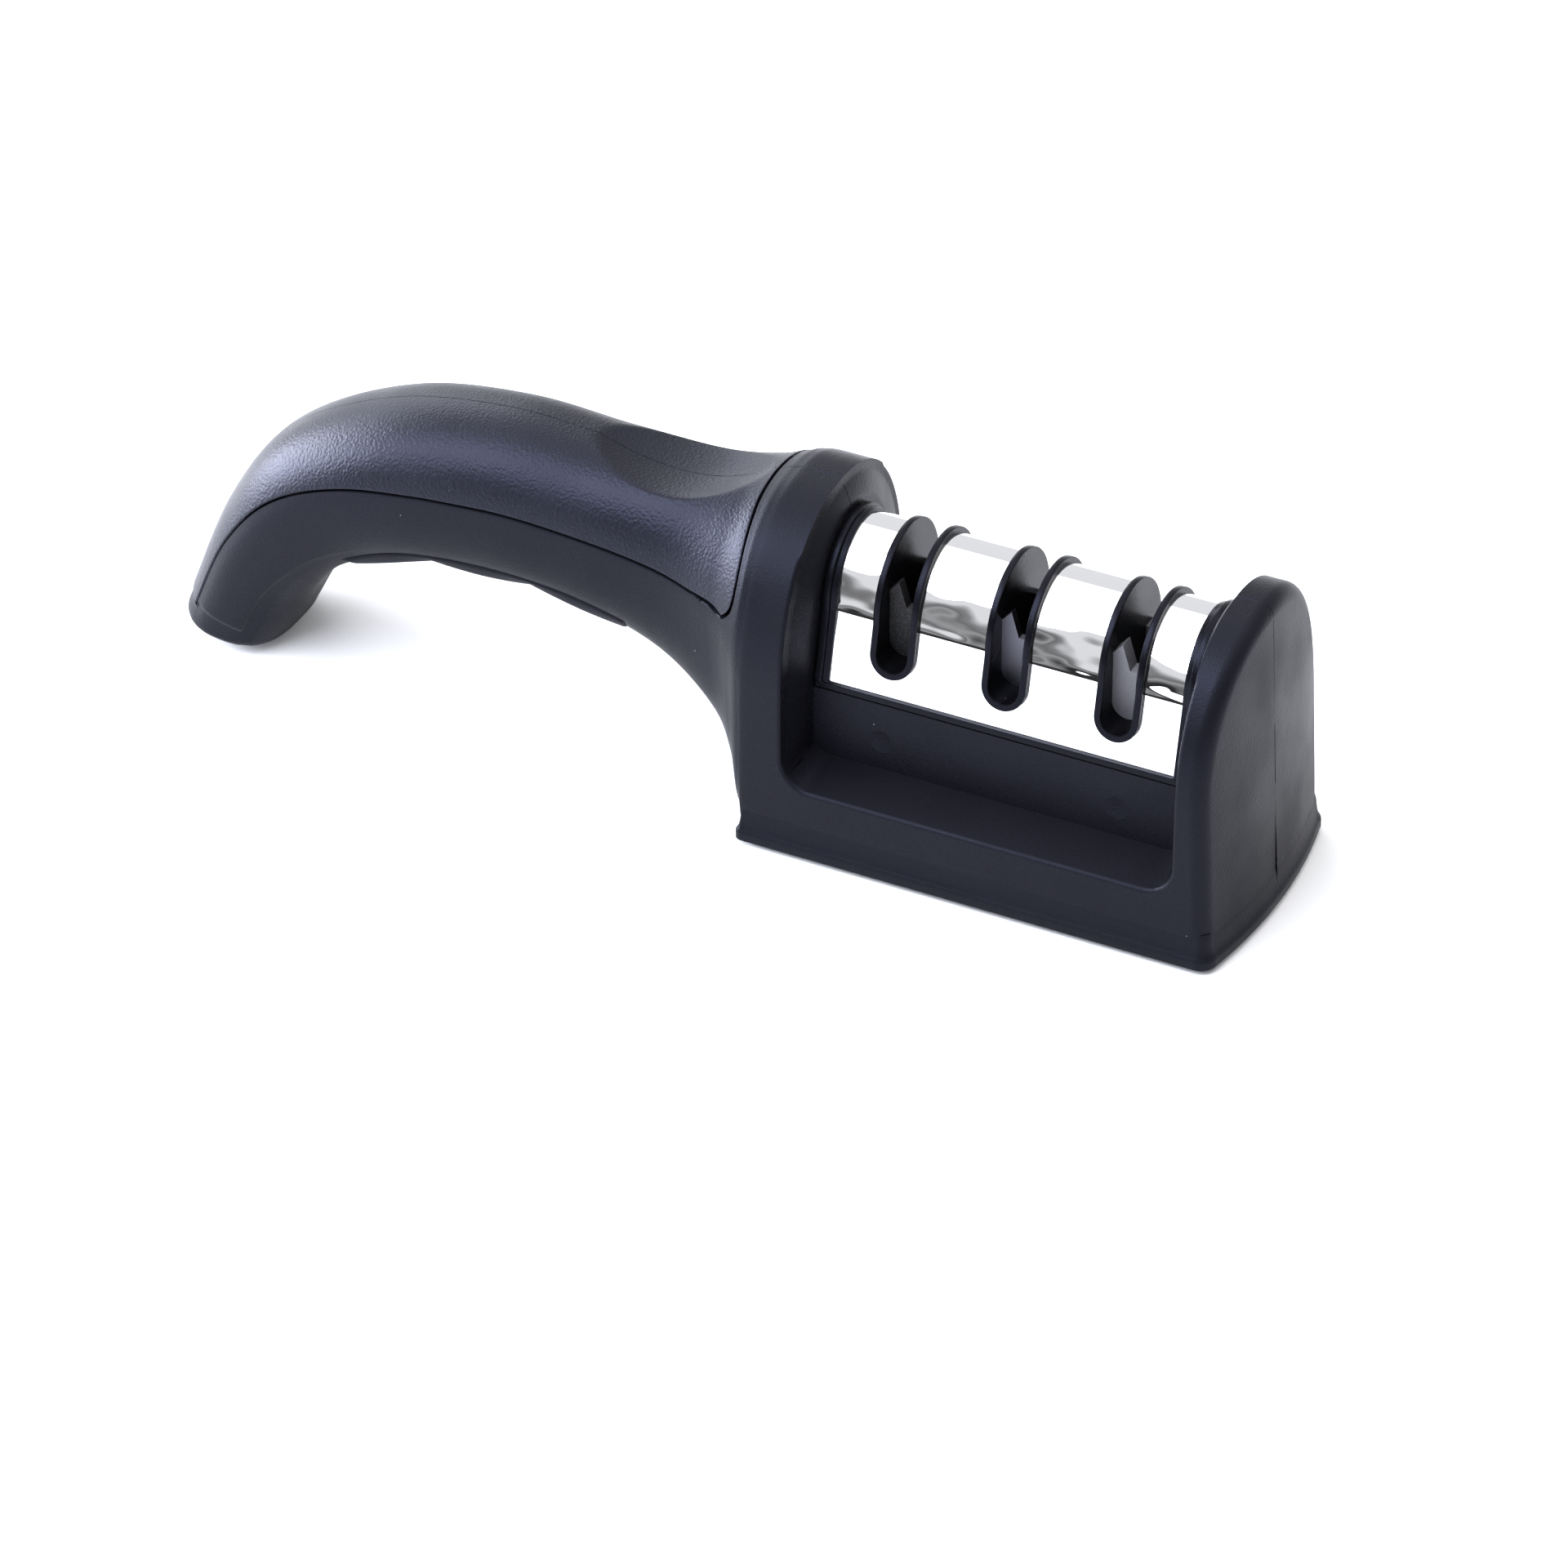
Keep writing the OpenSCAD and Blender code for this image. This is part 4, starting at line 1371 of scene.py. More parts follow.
    def outside(self) -> bpy.types.Object:
        """The near half's outside as one closed solid."""
        columns = Columns(self.form)
        angles = columns.at(np.array([self.form.first]))[0]
        rear_top, front_top = self.tops
        root = np.array(self.root_rings)
        none = np.zeros(2)
        straight = [
            self.body_rings(np.array([self.inner + 1.0, self.inner - 8.0]), front_top, none, angles),
            self.body_rings(np.array([-self.inner + 8.0, -self.inner - 1.5]), rear_top, none, angles),
            self.body_rings(root[:, 0], rear_top, root[:, 1], angles),
        ]
        for rings in straight:
            rings[:, 0, 2] -= self.parting
        rings = np.concatenate([self.nose_rings(angles), *straight, self.grip_rings(columns)])
        rings[:, 0, 1] = 0.0
        rings[:, -1, 1] = 0.0
        return loft("housing_near_piece", rings)

    def foot_plan(self, inset: float, over: float) -> Grid:
        """The outline of the base seen from above, with rounded corners.

        Args:
            inset: How far it lies inside the lip's edge.
            over: How far it passes the parting plane.

        Returns:
            The outline at height 0.
        """
        width = self.half + self.lip_proud
        half, rear = width - inset, -self.form.rear - self.lip_proud + inset
        r, big = max(self.rear_corner - inset, 0.3), self.lip_corner - inset
        points = [[rear, over], [rear, -half + r]]
        points += [arc_point(rear + r, -half + r, r, t) for t in np.linspace(180, 270, 7)[1:-1]]
        points.append([rear + r, -half])
        edge = self.front + self.lip_proud - inset

        def bowed(y: float) -> float:
            """Where the front edge stands at a width."""
            return edge + self.front_bow * (1 - (y / width) ** 2)

        corner = bowed(-half + big) - big
        points.append([corner, -half])
        points += [arc_point(corner, -half + big, big, t) for t in np.linspace(270, 360, 12)[1:-1]]
        points += [[bowed(y), y] for y in np.linspace(-half + big, 0, 24)]
        points.append([bowed(0.0), over])
        return np.array([[x, y, 0.0] for x, y in points])

    def lip_solid(self) -> bpy.types.Object:
        """The flared lip round the foot, with its upper edge rounded."""
        low, high = self.lip
        levels = [(low + rise, inset) for rise, inset in self.lip_foot]
        levels += [(high + rise, inset) for rise, inset in self.lip_blend]
        return loft("lip", np.array([self.foot_plan(inset, 0.0) + [0, 0, z] for z, inset in levels]))

    def recess_tool(self) -> bpy.types.Object:
        """What the side recess takes away: round lower corners and a ledge that falls outwards."""
        r, x, tall, reach = self.corner, self.inner, 60.0, 30.0
        right = [arc_point(x - r, r, r, t) for t in np.linspace(270, 360, 15)]
        left = [arc_point(-x + r, r, r, t) for t in np.linspace(180, 270, 15)]
        outline = np.array(left + right + [[x, tall], [-x, tall]])
        f = math.radians(self.fall)
        up = self.ledge + outline[:, 1] / math.cos(f)
        start = np.stack([outline[:, 0], np.full(len(outline), -self.wall_y), up], -1)
        end = start - np.array([0.0, reach, reach * math.tan(f)])
        return loft("recess", np.stack([start, end]))

    def cove(self, side: int) -> bpy.types.Object:
        """The hollow face of an upright, which sweeps in to the end of the head.

        Args:
            side: -1 for the rear upright and 1 for the front one.

        Returns:
            The solid that fills between the upright and the head's end.
        """
        top = self.tops[0] if side < 0 else self.tops[1]
        angles = np.concatenate([
            [0, 0.16, 0.4],
            np.linspace(1, 88, 50),
            [90, 90.4, 91, 92, 94, 98, 104, 112, 122, 132, 142, 152, 160, 166, 170, 174, 177, 179, 180],
        ])
        outer = self.body_rings(np.array([0.0]), top, np.array([self.cove_inset]), angles)[0]
        size = len(angles)
        up = np.stack([np.zeros(size), np.full(size, self.crown + self.cove_top)], -1)
        down = np.stack([np.zeros(size), np.full(size, self.ledge - self.cove_under)], -1)
        one = np.ones(size)
        half = one * (self.rim_y + self.cove_wide)
        inner = self.form.ring(up, down, half, one * self.squareness, angles, one * 0.0)
        straight, curved = self.cove_sweep
        face_end, solid_end = self.cove_end
        rings = []
        for f in np.linspace(0, 1, 9):
            ring = inner + (outer - inner) * f
            sink = straight * f + curved * (1 - math.cos(f * math.pi / 2))
            ring[:, 0] = side * (self.bay[0] + (self.inner + face_end - self.bay[0]) * sink)
            ring[0, 0] += side * self.parting
            rings.append(ring)
        back = outer.copy()
        back[:, 0] = side * (self.inner + solid_end)
        rings.append(back)
        return loft("cove", np.array(rings))

    def cross_points(self) -> list[Point]:
        """Where the housing screws cross: along, up, and half the width there."""
        found = [(x, z, self.wall_y) for x, z in self.screws_low]
        for s in self.cross_stations:
            r = self.form.read(np.array(s))
            found.append((-self.form.rear - (r[0] + r[2]) / 2, (r[1] + r[3]) / 2, r[4]))
        return [tuple(float(v) for v in p) for p in found]

    def screw_seats(self) -> list[Point]:
        """Where the heads of the housing screws seat."""
        low = len(self.screws_low)
        under = self.wall_y - self.seat_depth
        points = enumerate(self.cross_points())
        return [(x, under if i < low else self.grip_seat, z) for i, (x, z, _) in points]

    def hollows(self) -> list[bpy.types.Object]:
        """The cavities inside the half, which the base plate and the head close."""
        form, wall = self.form, self.wall
        angles = np.linspace(0, 180, 25)
        one = np.ones(len(angles))
        rings = []
        for s in np.concatenate([[1.0, 1.5, 2.0], np.arange(2.5, 9.5, 0.5)]):
            r = form.read(np.array(s))
            top, under = form.ends(r)
            under[1] += wall * (4 - s) / 3 if s < 4 else 0.0
            deep = one * (wall + self.seat_depth)
            ring = form.ring(one[:, None] * top, one[:, None] * under, one * r[4], one * r[5], angles, deep)
            first, last = ring[0], ring[-1]
            rings.append(np.vstack([[first[0], OVERLAP, first[2]], ring, [last[0], OVERLAP, last[2]]]))
        under_ledge = self.ledge - (self.half - self.wall_y) * math.tan(math.radians(self.fall)) - wall
        return [
            loft("hollow", np.array(rings)),
            block(
                "under",
                (-form.rear + wall, -self.half + wall, 0),
                (self.front - wall, OVERLAP, under_ledge),
            ),
            block(
                "deep",
                (-self.inner - wall, -self.bay[1], 0),
                (self.inner + wall, OVERLAP, self.bay[2] - wall),
            ),
        ]

    def sink_marks(self) -> list[bpy.types.Object]:
        """Shallow dishes in the side wall, where the plastic shrank over the lower bosses."""
        marks = []
        wide, deep = self.sink_mark
        turn = np.linspace(0, 2 * math.pi, 40, endpoint=False)
        for x, z in self.screws_low:
            rings = []
            for share in (0.03, 0.15, 0.3, 0.45, 0.6, 0.75, 0.9, 1.05):
                y = -self.wall_y + deep * (1 - share * share)
                ring = [[x + wide * share * math.cos(t), y, z + wide * share * math.sin(t)] for t in turn]
                rings.append(ring)
            marks.append(loft("sink_mark", np.array(rings)))
        return marks

    def bosses(self) -> list[bpy.types.Object]:
        """The screw bosses that cross the half."""
        low, in_grip = self.boss_skin
        found = []
        for x, z, half in self.cross_points():
            skin = low if half == self.wall_y else in_grip
            found.append(rod("boss", (x, 0.0, z), (x, -(half - skin), z), self.boss))
        return found

    def near_half(self) -> bpy.types.Object:
        """The near half before its screw holes."""
        piece = self.outside()
        combine(piece, self.lip_solid(), Cut.JOIN)
        for tool in self.hollows():
            combine(piece, tool, Cut.TAKE)
        space = block("space", (-self.inner, -60, self.wall_top), (self.inner, OVERLAP, ABOVE))
        combine(piece, space, Cut.TAKE)
        combine(piece, self.recess_tool(), Cut.TAKE)
        x, y, z = self.bay
        combine(piece, block("bay", (-x, -y, z), (x, OVERLAP, ABOVE)), Cut.TAKE)
        for side in (-1, 1):
            combine(piece, self.cove(side), Cut.JOIN)
        for tool in self.bosses():
            combine(piece, tool, Cut.JOIN)
        for tool in self.sink_marks():
            combine(piece, tool, Cut.TAKE)
        plan = self.foot_plan(self.rebate, OVERLAP) + [0, 0, BELOW]
        combine(piece, prism("rebate", plan, (0, 0, self.cavity - BELOW)), Cut.TAKE)
        return piece

    def far_half(self, near: bpy.types.Object) -> bpy.types.Object:
        """The far half, a mirror copy with the screws' holes in it.

        Args:
            near: The near half.

        Returns:
            The far half.
        """
        mesh = near.data.copy()
        mesh.transform(Matrix.Scale(-1, 4, (0, 1, 0)))
        mesh.flip_normals()
        piece = placed("housing_far_piece", mesh)
        out = 40.0
        for x, seat, z in self.screw_seats():
            combine(piece, rod("hole", (x, -OVERLAP, z), (x, out, z), self.hole), Cut.TAKE)
            combine(piece, rod("head_hole", (x, seat, z), (x, out, z), self.head_hole), Cut.TAKE)
        return piece

    def build(self) -> None:
        """Builds and dresses both halves."""
        near = self.near_half()
        far = self.far_half(near)
        for x, z, _ in self.cross_points():
            combine(near, rod("thread", (x, OVERLAP, z), (x, -self.bite, z), self.hole), Cut.TAKE)
        for piece, side in ((near, Side.NEAR), (far, Side.FAR)):
            self.soften(piece)
            smooth_shade(piece, 40.0)
            finish_piece(piece, SHELL, "housing", "shell", f"housing_{side.word}")

    def soften(self, piece: bpy.types.Object) -> None:
        """Rounds the moulded edges round the uprights and the recess.

        Args:
            piece: One half.
        """
        inner = self.inner

        def rim(p: Vector) -> bool:
            """Picks the uprights' inner edges above the ledge and the mouth of the recess."""
            return abs(p.x) < inner + 0.4 and abs(p.y) > self.rim_y + 1.5 and p.z > self.ledge - 6

        round_edges(piece, self.edge_round, rim, 38.0, 4)


@dataclass
class SoftGrip:
    """The soft upper skin in two halves, and the finger pad.

    Attributes:
        form: The surface they follow.
        thick: Thickness of the skin.
        edge: How far the skin's edge stands inside its bed's edge.
        lip: Radius of the skin's rounded edge.
        parting: Depth of the groove between the skin's halves.
        under: How much deeper than its thickness the skin's inside lies.
        short: Degrees by which the skin ends before the seam.
        unfollow: The stations where its rings are straight, and where they start to leave its front edge.
        waves: How many waves the finger pad has.
        wave: Their height.
        pad_rise: How far the pad stands out between its waves.
        pad_edge: How far its edge stands inside its bed's edge.
        pad_deep: How deep its inside lies.
        pad_lip: Width and depth of its rounded edge, the depth as a share of the width.
        pad_gap: The gap at each of its ends, in stations.
        pad_short: Degrees by which it starts after its bed's edge.
        pad_shape: How full its waves are, and over how many degrees from its side they rise.
    """

    form: GripForm
    thick: float = 1.6
    edge: float = 0.3
    lip: float = 0.38
    parting: float = 0.13
    under: float = 0.1
    short: float = 1.3
    unfollow: tuple[float, float] = (3.8, 2.1)
    waves: int = 3
    wave: float = 0.9
    pad_rise: float = 0.25
    pad_edge: float = 0.2
    pad_deep: float = 1.1
    pad_lip: tuple[float, float] = (0.6, 1.2)
    pad_gap: float = 0.015
    pad_short: float = 0.9
    pad_shape: tuple[float, float] = (0.8, 16.0)

    def skin(self, side: Side) -> bpy.types.Object:
        """One half of the skin, with rounded edges.

        Args:
            side: Which half.

        Returns:
            The piece.
        """
        form = self.form
        rows = np.unique(np.round(np.concatenate([
            [1.93, 1.95, 1.98, 2.02, 2.07, 2.13, 2.2],
            np.arange(2.28, 9.7, 0.06),
            [9.7, 9.74, 9.77, 9.79, 9.805, 9.82, 9.83],
        ]), 4))
        seam = form.seam(rows[:, None])
        share = np.concatenate([
            [0, 0.0025, 0.006, 0.012],
            np.linspace(0.022, 0.965, 58)[:-1],
            1 - np.array([0.035, 0.027, 0.02, 0.014, 0.009, 0.005, 0.002, 0.0]),
        ])
        angles = share[None, :] * (seam - self.short)
        pull = ease(rows, *self.unfollow)
        station = rows[:, None] + pull[:, None] * (form.front(angles) - form.skin_front)
        p, normal, along, across = form.frame(station, angles)
        inside = form.into_skin(station, angles, along, across) - self.edge
        drop = quarter_round(inside, self.lip)
        drop[:, 0] = np.maximum(drop[:, 0], self.parting)
        outer = p - normal * drop[..., None]
        inner = p - normal * (self.thick + self.under)
        inner[..., 1] = np.minimum(inner[..., 1], 0.0)
        if side is Side.FAR:
            outer[..., 1] *= -1
            inner[..., 1] *= -1
        piece = loft(f"grip_skin_{side.word}_piece", np.concatenate([outer, inner[:, ::-1]], 1))
        smooth_shade(piece, 50.0)
        return piece

    def pad(self) -> bpy.types.Object:
        """The finger pad under the grip, in soft waves from end to end."""
        form = self.form
        low, high = form.pad_ends
        gap = self.pad_gap
        ends = np.array([0, 0.004, 0.01, 0.02, 0.035, 0.06])
        middle = np.linspace(low + 0.12, high - 0.12, 70)
        rows = np.concatenate([low + gap + ends, middle, high - gap - ends[::-1]])
        edge = form.pad_edge(rows[:, None])
        share = np.concatenate([[0, 0.006, 0.015, 0.03, 0.05], np.linspace(0.08, 1, 26)])
        angles = edge + self.pad_short + share[None, :] * (180 - edge - self.pad_short)
        station = np.repeat(rows[:, None], angles.shape[1], 1)
        p, normal, along, across = form.frame(station, angles)
        inside = form.into_pad(station, angles, along, across) - self.pad_edge
        v = (station - low) / (high - low)
        fullness, rise_over = self.pad_shape
        lobe = np.abs(np.sin(math.pi * self.waves * v)) ** fullness
        round_across = ease(angles, edge, edge + rise_over)
        lip, share_deep = self.pad_lip
        rise = (self.pad_rise + self.wave * lobe * round_across) - quarter_round(inside, lip) * share_deep
        outer = p + normal * rise[..., None]
        inner = p - normal * self.pad_deep
        mirror = [1, -1, 1]
        half = np.concatenate([outer, outer[:, -2::-1] * mirror], 1)
        under = np.concatenate([inner, inner[:, -2::-1] * mirror], 1)
        piece = loft("finger_pad_piece", np.concatenate([half, under[:, ::-1]], 1))
        smooth_shade(piece, 50.0)
        return piece

    def build(self) -> None:
        """Builds and dresses the skin and the pad."""
        for side in Side:
            finish_piece(self.skin(side), SOFT, "housing", "soft_skin", f"grip_skin_{side.word}")
        finish_piece(self.pad(), PAD, "housing", "finger_pad", "finger_pad")


# The sharpening head


@dataclass
class Head:
    """The lift-out sharpening head.

    Attributes:
        length: Over its end flanges.
        cover: Length of the bright cover.
        foot_half: Half the width at the cover's lower edge.
        hip_half: Half the width at the top of its flat flank.
        cover_z: Height of its lower edge.
        hip_z: Height of the top of the flank.
        crown: Height of the curved top.
        thick: Thickness of the cover.
        pitch: Distance between slots.
        slot: Width of a slot.
        collar: Thickness of a slot's collar.
        proud: How far collars and flanges stand out of the cover.
        neck: How far the core's neck between cover and flange stands out.
        neck_end: How far beyond the cover the neck ends and the flange starts.
        slot_mid: Height of the middle of a slot's round floor.
        rim_y: Half the width of the rim round the foot.
        rim_z: Height of the rim's underside.
        foot_y: Half the width of the root.
        core_z: Height of the root's underside.
        fold: Height over the hip in which the cover's fold is shaded.
        fold_tilt: The tilt that the shading starts from at the fold, in degrees.
        fold_dip: How far the shading dips in the fold, in degrees.
        element_y: Where the middles of the elements stand, across.
        element_height: From a slot's floor up to an element's peak.
        slot_floor: Height from which that is measured.
        edge_high: From an element's peak down to the foot of its steep edge.
        edge_past: How far beyond the slot's middle that edge starts.
        edge_lean: How far that edge leans, in degrees.
        shoulder: Slope of an element's long shoulder, in degrees.
        pocket_gap: The play of an element in its pocket.
        thick_elements: Thickness of the near elements, from the handle to the front.
        core_round: Width of the roundings of the core's edges.
        element_round: Width of the roundings of the elements' edges.
    """

    length: float = 69.0
    cover: float = 64.0
    foot_half: float = 13.9
    hip_half: float = 11.0
    cover_z: float = 31.0
    hip_z: float = 43.7
    crown: float = 12.3
    thick: float = 0.5
    pitch: float = 20.8
    slot: float = 5.7
    collar: float = 1.25
    proud: float = 1.0
    neck: float = 0.45
    neck_end: float = 1.1
    slot_mid: float = 38.75
    rim_y: float = 14.6
    rim_z: float = 29.7
    foot_y: float = 11.8
    core_z: float = 28.8
    fold: float = 0.5
    fold_tilt: float = 22.5
    fold_dip: float = 2.8
    element_y: float = 6.8
    element_height: float = 14.6
    slot_floor: float = 35.9
    edge_high: float = 4.9
    edge_past: float = 0.3
    edge_lean: float = 16.6
    shoulder: float = 48.0
    pocket_gap: float = 0.05
    thick_elements: tuple[float, float, float] = (2.0, 1.6, 3.0)
    core_round: float = 0.22
    element_round: float = 0.12

    def outline(self, out: float, foot: float = 0.0, step: float = 1.5) -> Grid:
        """The near half of the head's section, from the crest down to its foot.

        Args:
            out: How far it is moved out of the cover's outside.
            foot: How much further down it goes.
            step: Degrees between points of the curved top.

        Returns:
            Rows of y and z.
        """
        points = []
        for t in np.radians(np.arange(90, -0.01, -step)):
            across = -(self.hip_half + out) * math.cos(t)
            points.append([across, self.hip_z + (self.crown + out) * math.sin(t)])
        edge = -self.foot_half - out
        points.append([edge, self.cover_z])
        if foot:
            points.append([edge, self.cover_z - foot])
        return np.array(points)

    def section(
        self, name: str, out: float, x0: float, x1: float, foot: float = 0.0, over: float = OVERLAP
    ) -> bpy.types.Object:
        """A near-half solid with the head's section.

        Args:
            name: The object's name.
            out: How far it is moved out.
            x0: Where it starts.
            x1: Where it ends.
            foot: How much further down it goes than the cover.
            over: How far it passes the parting plane.

        Returns:
            The solid.
        """
        rows = self.outline(out, foot)
        rows = np.vstack([[over, rows[0, 1]], rows, [over, rows[-1, 1]]])
        outline = np.array([[x0, y, z] for y, z in rows])
        return prism(name, outline, (x1 - x0, 0, 0))

    def slot_tool(self, name: str, x: float, radius: float, y0: float, y1: float) -> bpy.types.Object:
        """A tool with a slot's shape: straight sides and a round floor, open at the top.

        Args:
            name: The object's name.
            x: The slot's middle.
            radius: Half its width.
            y0: Where it starts.
            y1: Where it ends.

        Returns:
            The tool.
        """
        tall = 80.0
        points = [[x + radius, y0, tall], [x - radius, y0, tall]]
        for t in np.linspace(180, 360, 41):
            along, up = arc_point(x, self.slot_mid, radius, t)
            points.append([along, y0, up])
        return prism(name, np.array(points), (0, y1 - y0, 0))

    @property
    def slots(self) -> tuple[float, float, float]:
        """The middles of the slots."""
        return (-self.pitch, 0.0, self.pitch)

    def core_half(self, side: Side) -> bpy.types.Object:
        """One half of the black core, with its flanges, rim, collars and slots.

        Args:
            side: Which half.

        Returns:
            The piece.
        """
        half_cover, half, bite, reach = self.cover / 2, self.length / 2, 0.01, 40.0
        neck_end = half_cover + self.neck_end
        piece = self.section(f"core_{side.word}_piece", -self.thick, -half_cover, half_cover, bite)
        rings = ((self.neck, half_cover - bite, neck_end), (self.proud, neck_end - bite, half))
        for sign in (-1, 1):
            for out, a, b in rings:
                combine(piece, self.section("flange", out, *sorted((sign * a, sign * b)), bite), Cut.JOIN)
        rim = block("rim", (-half, -self.rim_y, self.rim_z), (half, OVERLAP, self.cover_z))
        combine(piece, rim, Cut.JOIN)
        root = block("root", (-half, -self.foot_y, self.core_z), (half, OVERLAP, self.rim_z + bite))
        combine(piece, root, Cut.JOIN)
        for x in self.slots:
            collar = self.slot_tool("collar", x, self.slot / 2 + self.collar, -reach, OVERLAP)
            combine(collar, self.section("collar_out", self.proud, x - 10, x + 10, bite), Cut.KEEP)
            combine(piece, collar, Cut.JOIN)
        for x in self.slots:
            combine(piece, self.slot_tool("slot", x, self.slot / 2, -reach, 2 * OVERLAP), Cut.TAKE)
        combine(piece, block("other_half", (-60, 0, 0), (60, 5, ABOVE)), Cut.TAKE)
        thick = self.thick_elements if side is Side.NEAR else self.thick_elements[::-1]
        for x, t in zip(self.slots, thick):
            combine(piece, self.element("pocket", x, t, self.pocket_gap, Side.NEAR), Cut.TAKE)
        if side is Side.FAR:
            piece.data.transform(Matrix.Rotation(math.pi, 4, "Z"))

        def outer(p: Vector) -> bool:
            """Picks the edges that show: not those on the parting plane nor in the pockets."""
            low = p.z < self.slot_floor + self.element_height + 0.5
            in_pocket = abs(abs(p.y) - self.element_y) < 2.0 and low
            return abs(p.y) > 0.05 and p.z > self.rim_z - 0.5 and not in_pocket

        round_edges(piece, self.core_round, outer, 40.0, 2)
        smooth_shade(piece, 30.0)
        return piece

    def element(self, name: str, x: float, thickness: float, gap: float, side: Side) -> bpy.types.Object:
        """A sharpening element: a peak by one slot wall and a slanting edge down past the middle.

        Args:
            name: The object's name.
            x: The slot's middle.
            thickness: Its thickness.
            gap: How far its outline is moved out.
            side: Which side of the head it stands on.

        Returns:
            The solid.
        """
        wide = self.slot / 2 + 1.0 + gap
        peak = self.slot_floor + self.element_height
        slope = math.tan(math.radians(self.shoulder))
        peak_x = self.edge_past - self.edge_high * math.tan(math.radians(self.edge_lean))
        bottom, step = self.slot_floor - 1.0 - gap, peak - self.edge_high + gap
        rows = [
            [-wide, bottom],
            [wide, bottom],
            [wide, step],
            [self.edge_past + gap, step],
            [peak_x + gap, peak + gap],
            [peak_x - gap, peak + gap],
            [-wide, peak + gap - (wide + peak_x) * slope],
        ]
        turn = 1 if side is Side.NEAR else -1
        y = -self.element_y - thickness / 2 - gap
        outline = np.array([[x + turn * u, turn * y, z] for u, z in rows])
        return prism(name, outline, (0, turn * (thickness + 2 * gap), 0))

    def normal_at(self, y: float, z: float) -> Vector:
        """The cover's true outward normal at a point of its section.

        Args:
            y: Across the head.
            z: Height.

        Returns:
            The unit normal, with no part along the head.
        """
        side = -1.0 if y < 0 else 1.0
        if z > self.hip_z - 0.02:
            tilt = math.degrees(math.atan2((z - self.hip_z) / self.crown**2, abs(y) / self.hip_half**2))
            tilt = (tilt**4 + self.fold_tilt**4) ** 0.25
            tilt -= self.fold_dip * (z < self.hip_z + self.fold)
            return Vector((0, side * math.cos(math.radians(tilt)), math.sin(math.radians(tilt))))
        run, rise = self.foot_half - self.hip_half, self.hip_z - self.cover_z
        return Vector((0, side * rise, run)).normalized()

    def bright_cover(self) -> bpy.types.Object:
        """The bright cover, shaded by its true normals so that it mirrors cleanly."""
        outer = self.outline(0.0, step=1.0)
        inner = self.outline(-self.thick, step=1.0)
        whole_out = np.vstack([outer[::-1], outer[1:] * [-1, 1]])
        whole_in = np.vstack([inner[::-1], inner[1:] * [-1, 1]])
        rows = np.vstack([whole_out, whole_in[::-1]])
        outline = np.array([[-self.cover / 2, y, z] for y, z in rows])
        piece = prism("head_cover_piece", outline, (self.cover, 0, 0))
        opening = self.slot / 2 + self.collar + 0.05
        for x in self.slots:
            combine(piece, self.slot_tool("opening", x, opening, -40, 40), Cut.TAKE)
        self.shade_true(piece)
        return piece

    def shade_true(self, piece: bpy.types.Object) -> None:
        """Sets the cover's outer normals from its section.

        Args:
            piece: The cover.
        """
        mesh = piece.data
        mesh.shade_smooth()
        normals: list[Vector] = [Vector()] * len(mesh.loops)
        for face in mesh.polygons:
            middle = face.center / MM
            true = self.normal_at(middle.y, middle.z)
            outside = face.normal.dot(true) > 0.9
            on_arc = middle.z > self.hip_z
            for loop in face.loop_indices:
                p = mesh.vertices[mesh.loops[loop].vertex_index].co / MM
                if outside and on_arc:
                    normals[loop] = self.normal_at(p.y, max(p.z, self.hip_z))
                elif outside:
                    normals[loop] = self.normal_at(p.y, self.hip_z - 1)
                else:
                    normals[loop] = face.normal.copy()
        mesh.normals_split_custom_set(normals)

    def build(self) -> None:
        """Builds and dresses the head."""
        for side in Side:
            finish_piece(self.core_half(side), CORE, "head", "core", f"core_{side.word}")
        finish_piece(self.bright_cover(), CHROME, "head", "cover", "head_cover")
        kinds = (
            (DIAMOND, "diamond", "diamond_plate"),
            (CARBIDE, "carbide", "carbide_blade"),
            (CERAMIC, "ceramic", "ceramic_plate"),
        )
        for side in Side:
            for x, thickness, (finish, slot, name) in zip(self.slots, self.thick_elements, kinds):
                piece = self.element(f"{name}_{side.word}_piece", x, thickness, 0.0, side)
                round_edges(piece, self.element_round, lambda p: True, 20.0, 2)
                smooth_shade(piece, 25.0)
                finish_piece(piece, finish, "head", slot, f"{name}_{side.word}")


# Screws


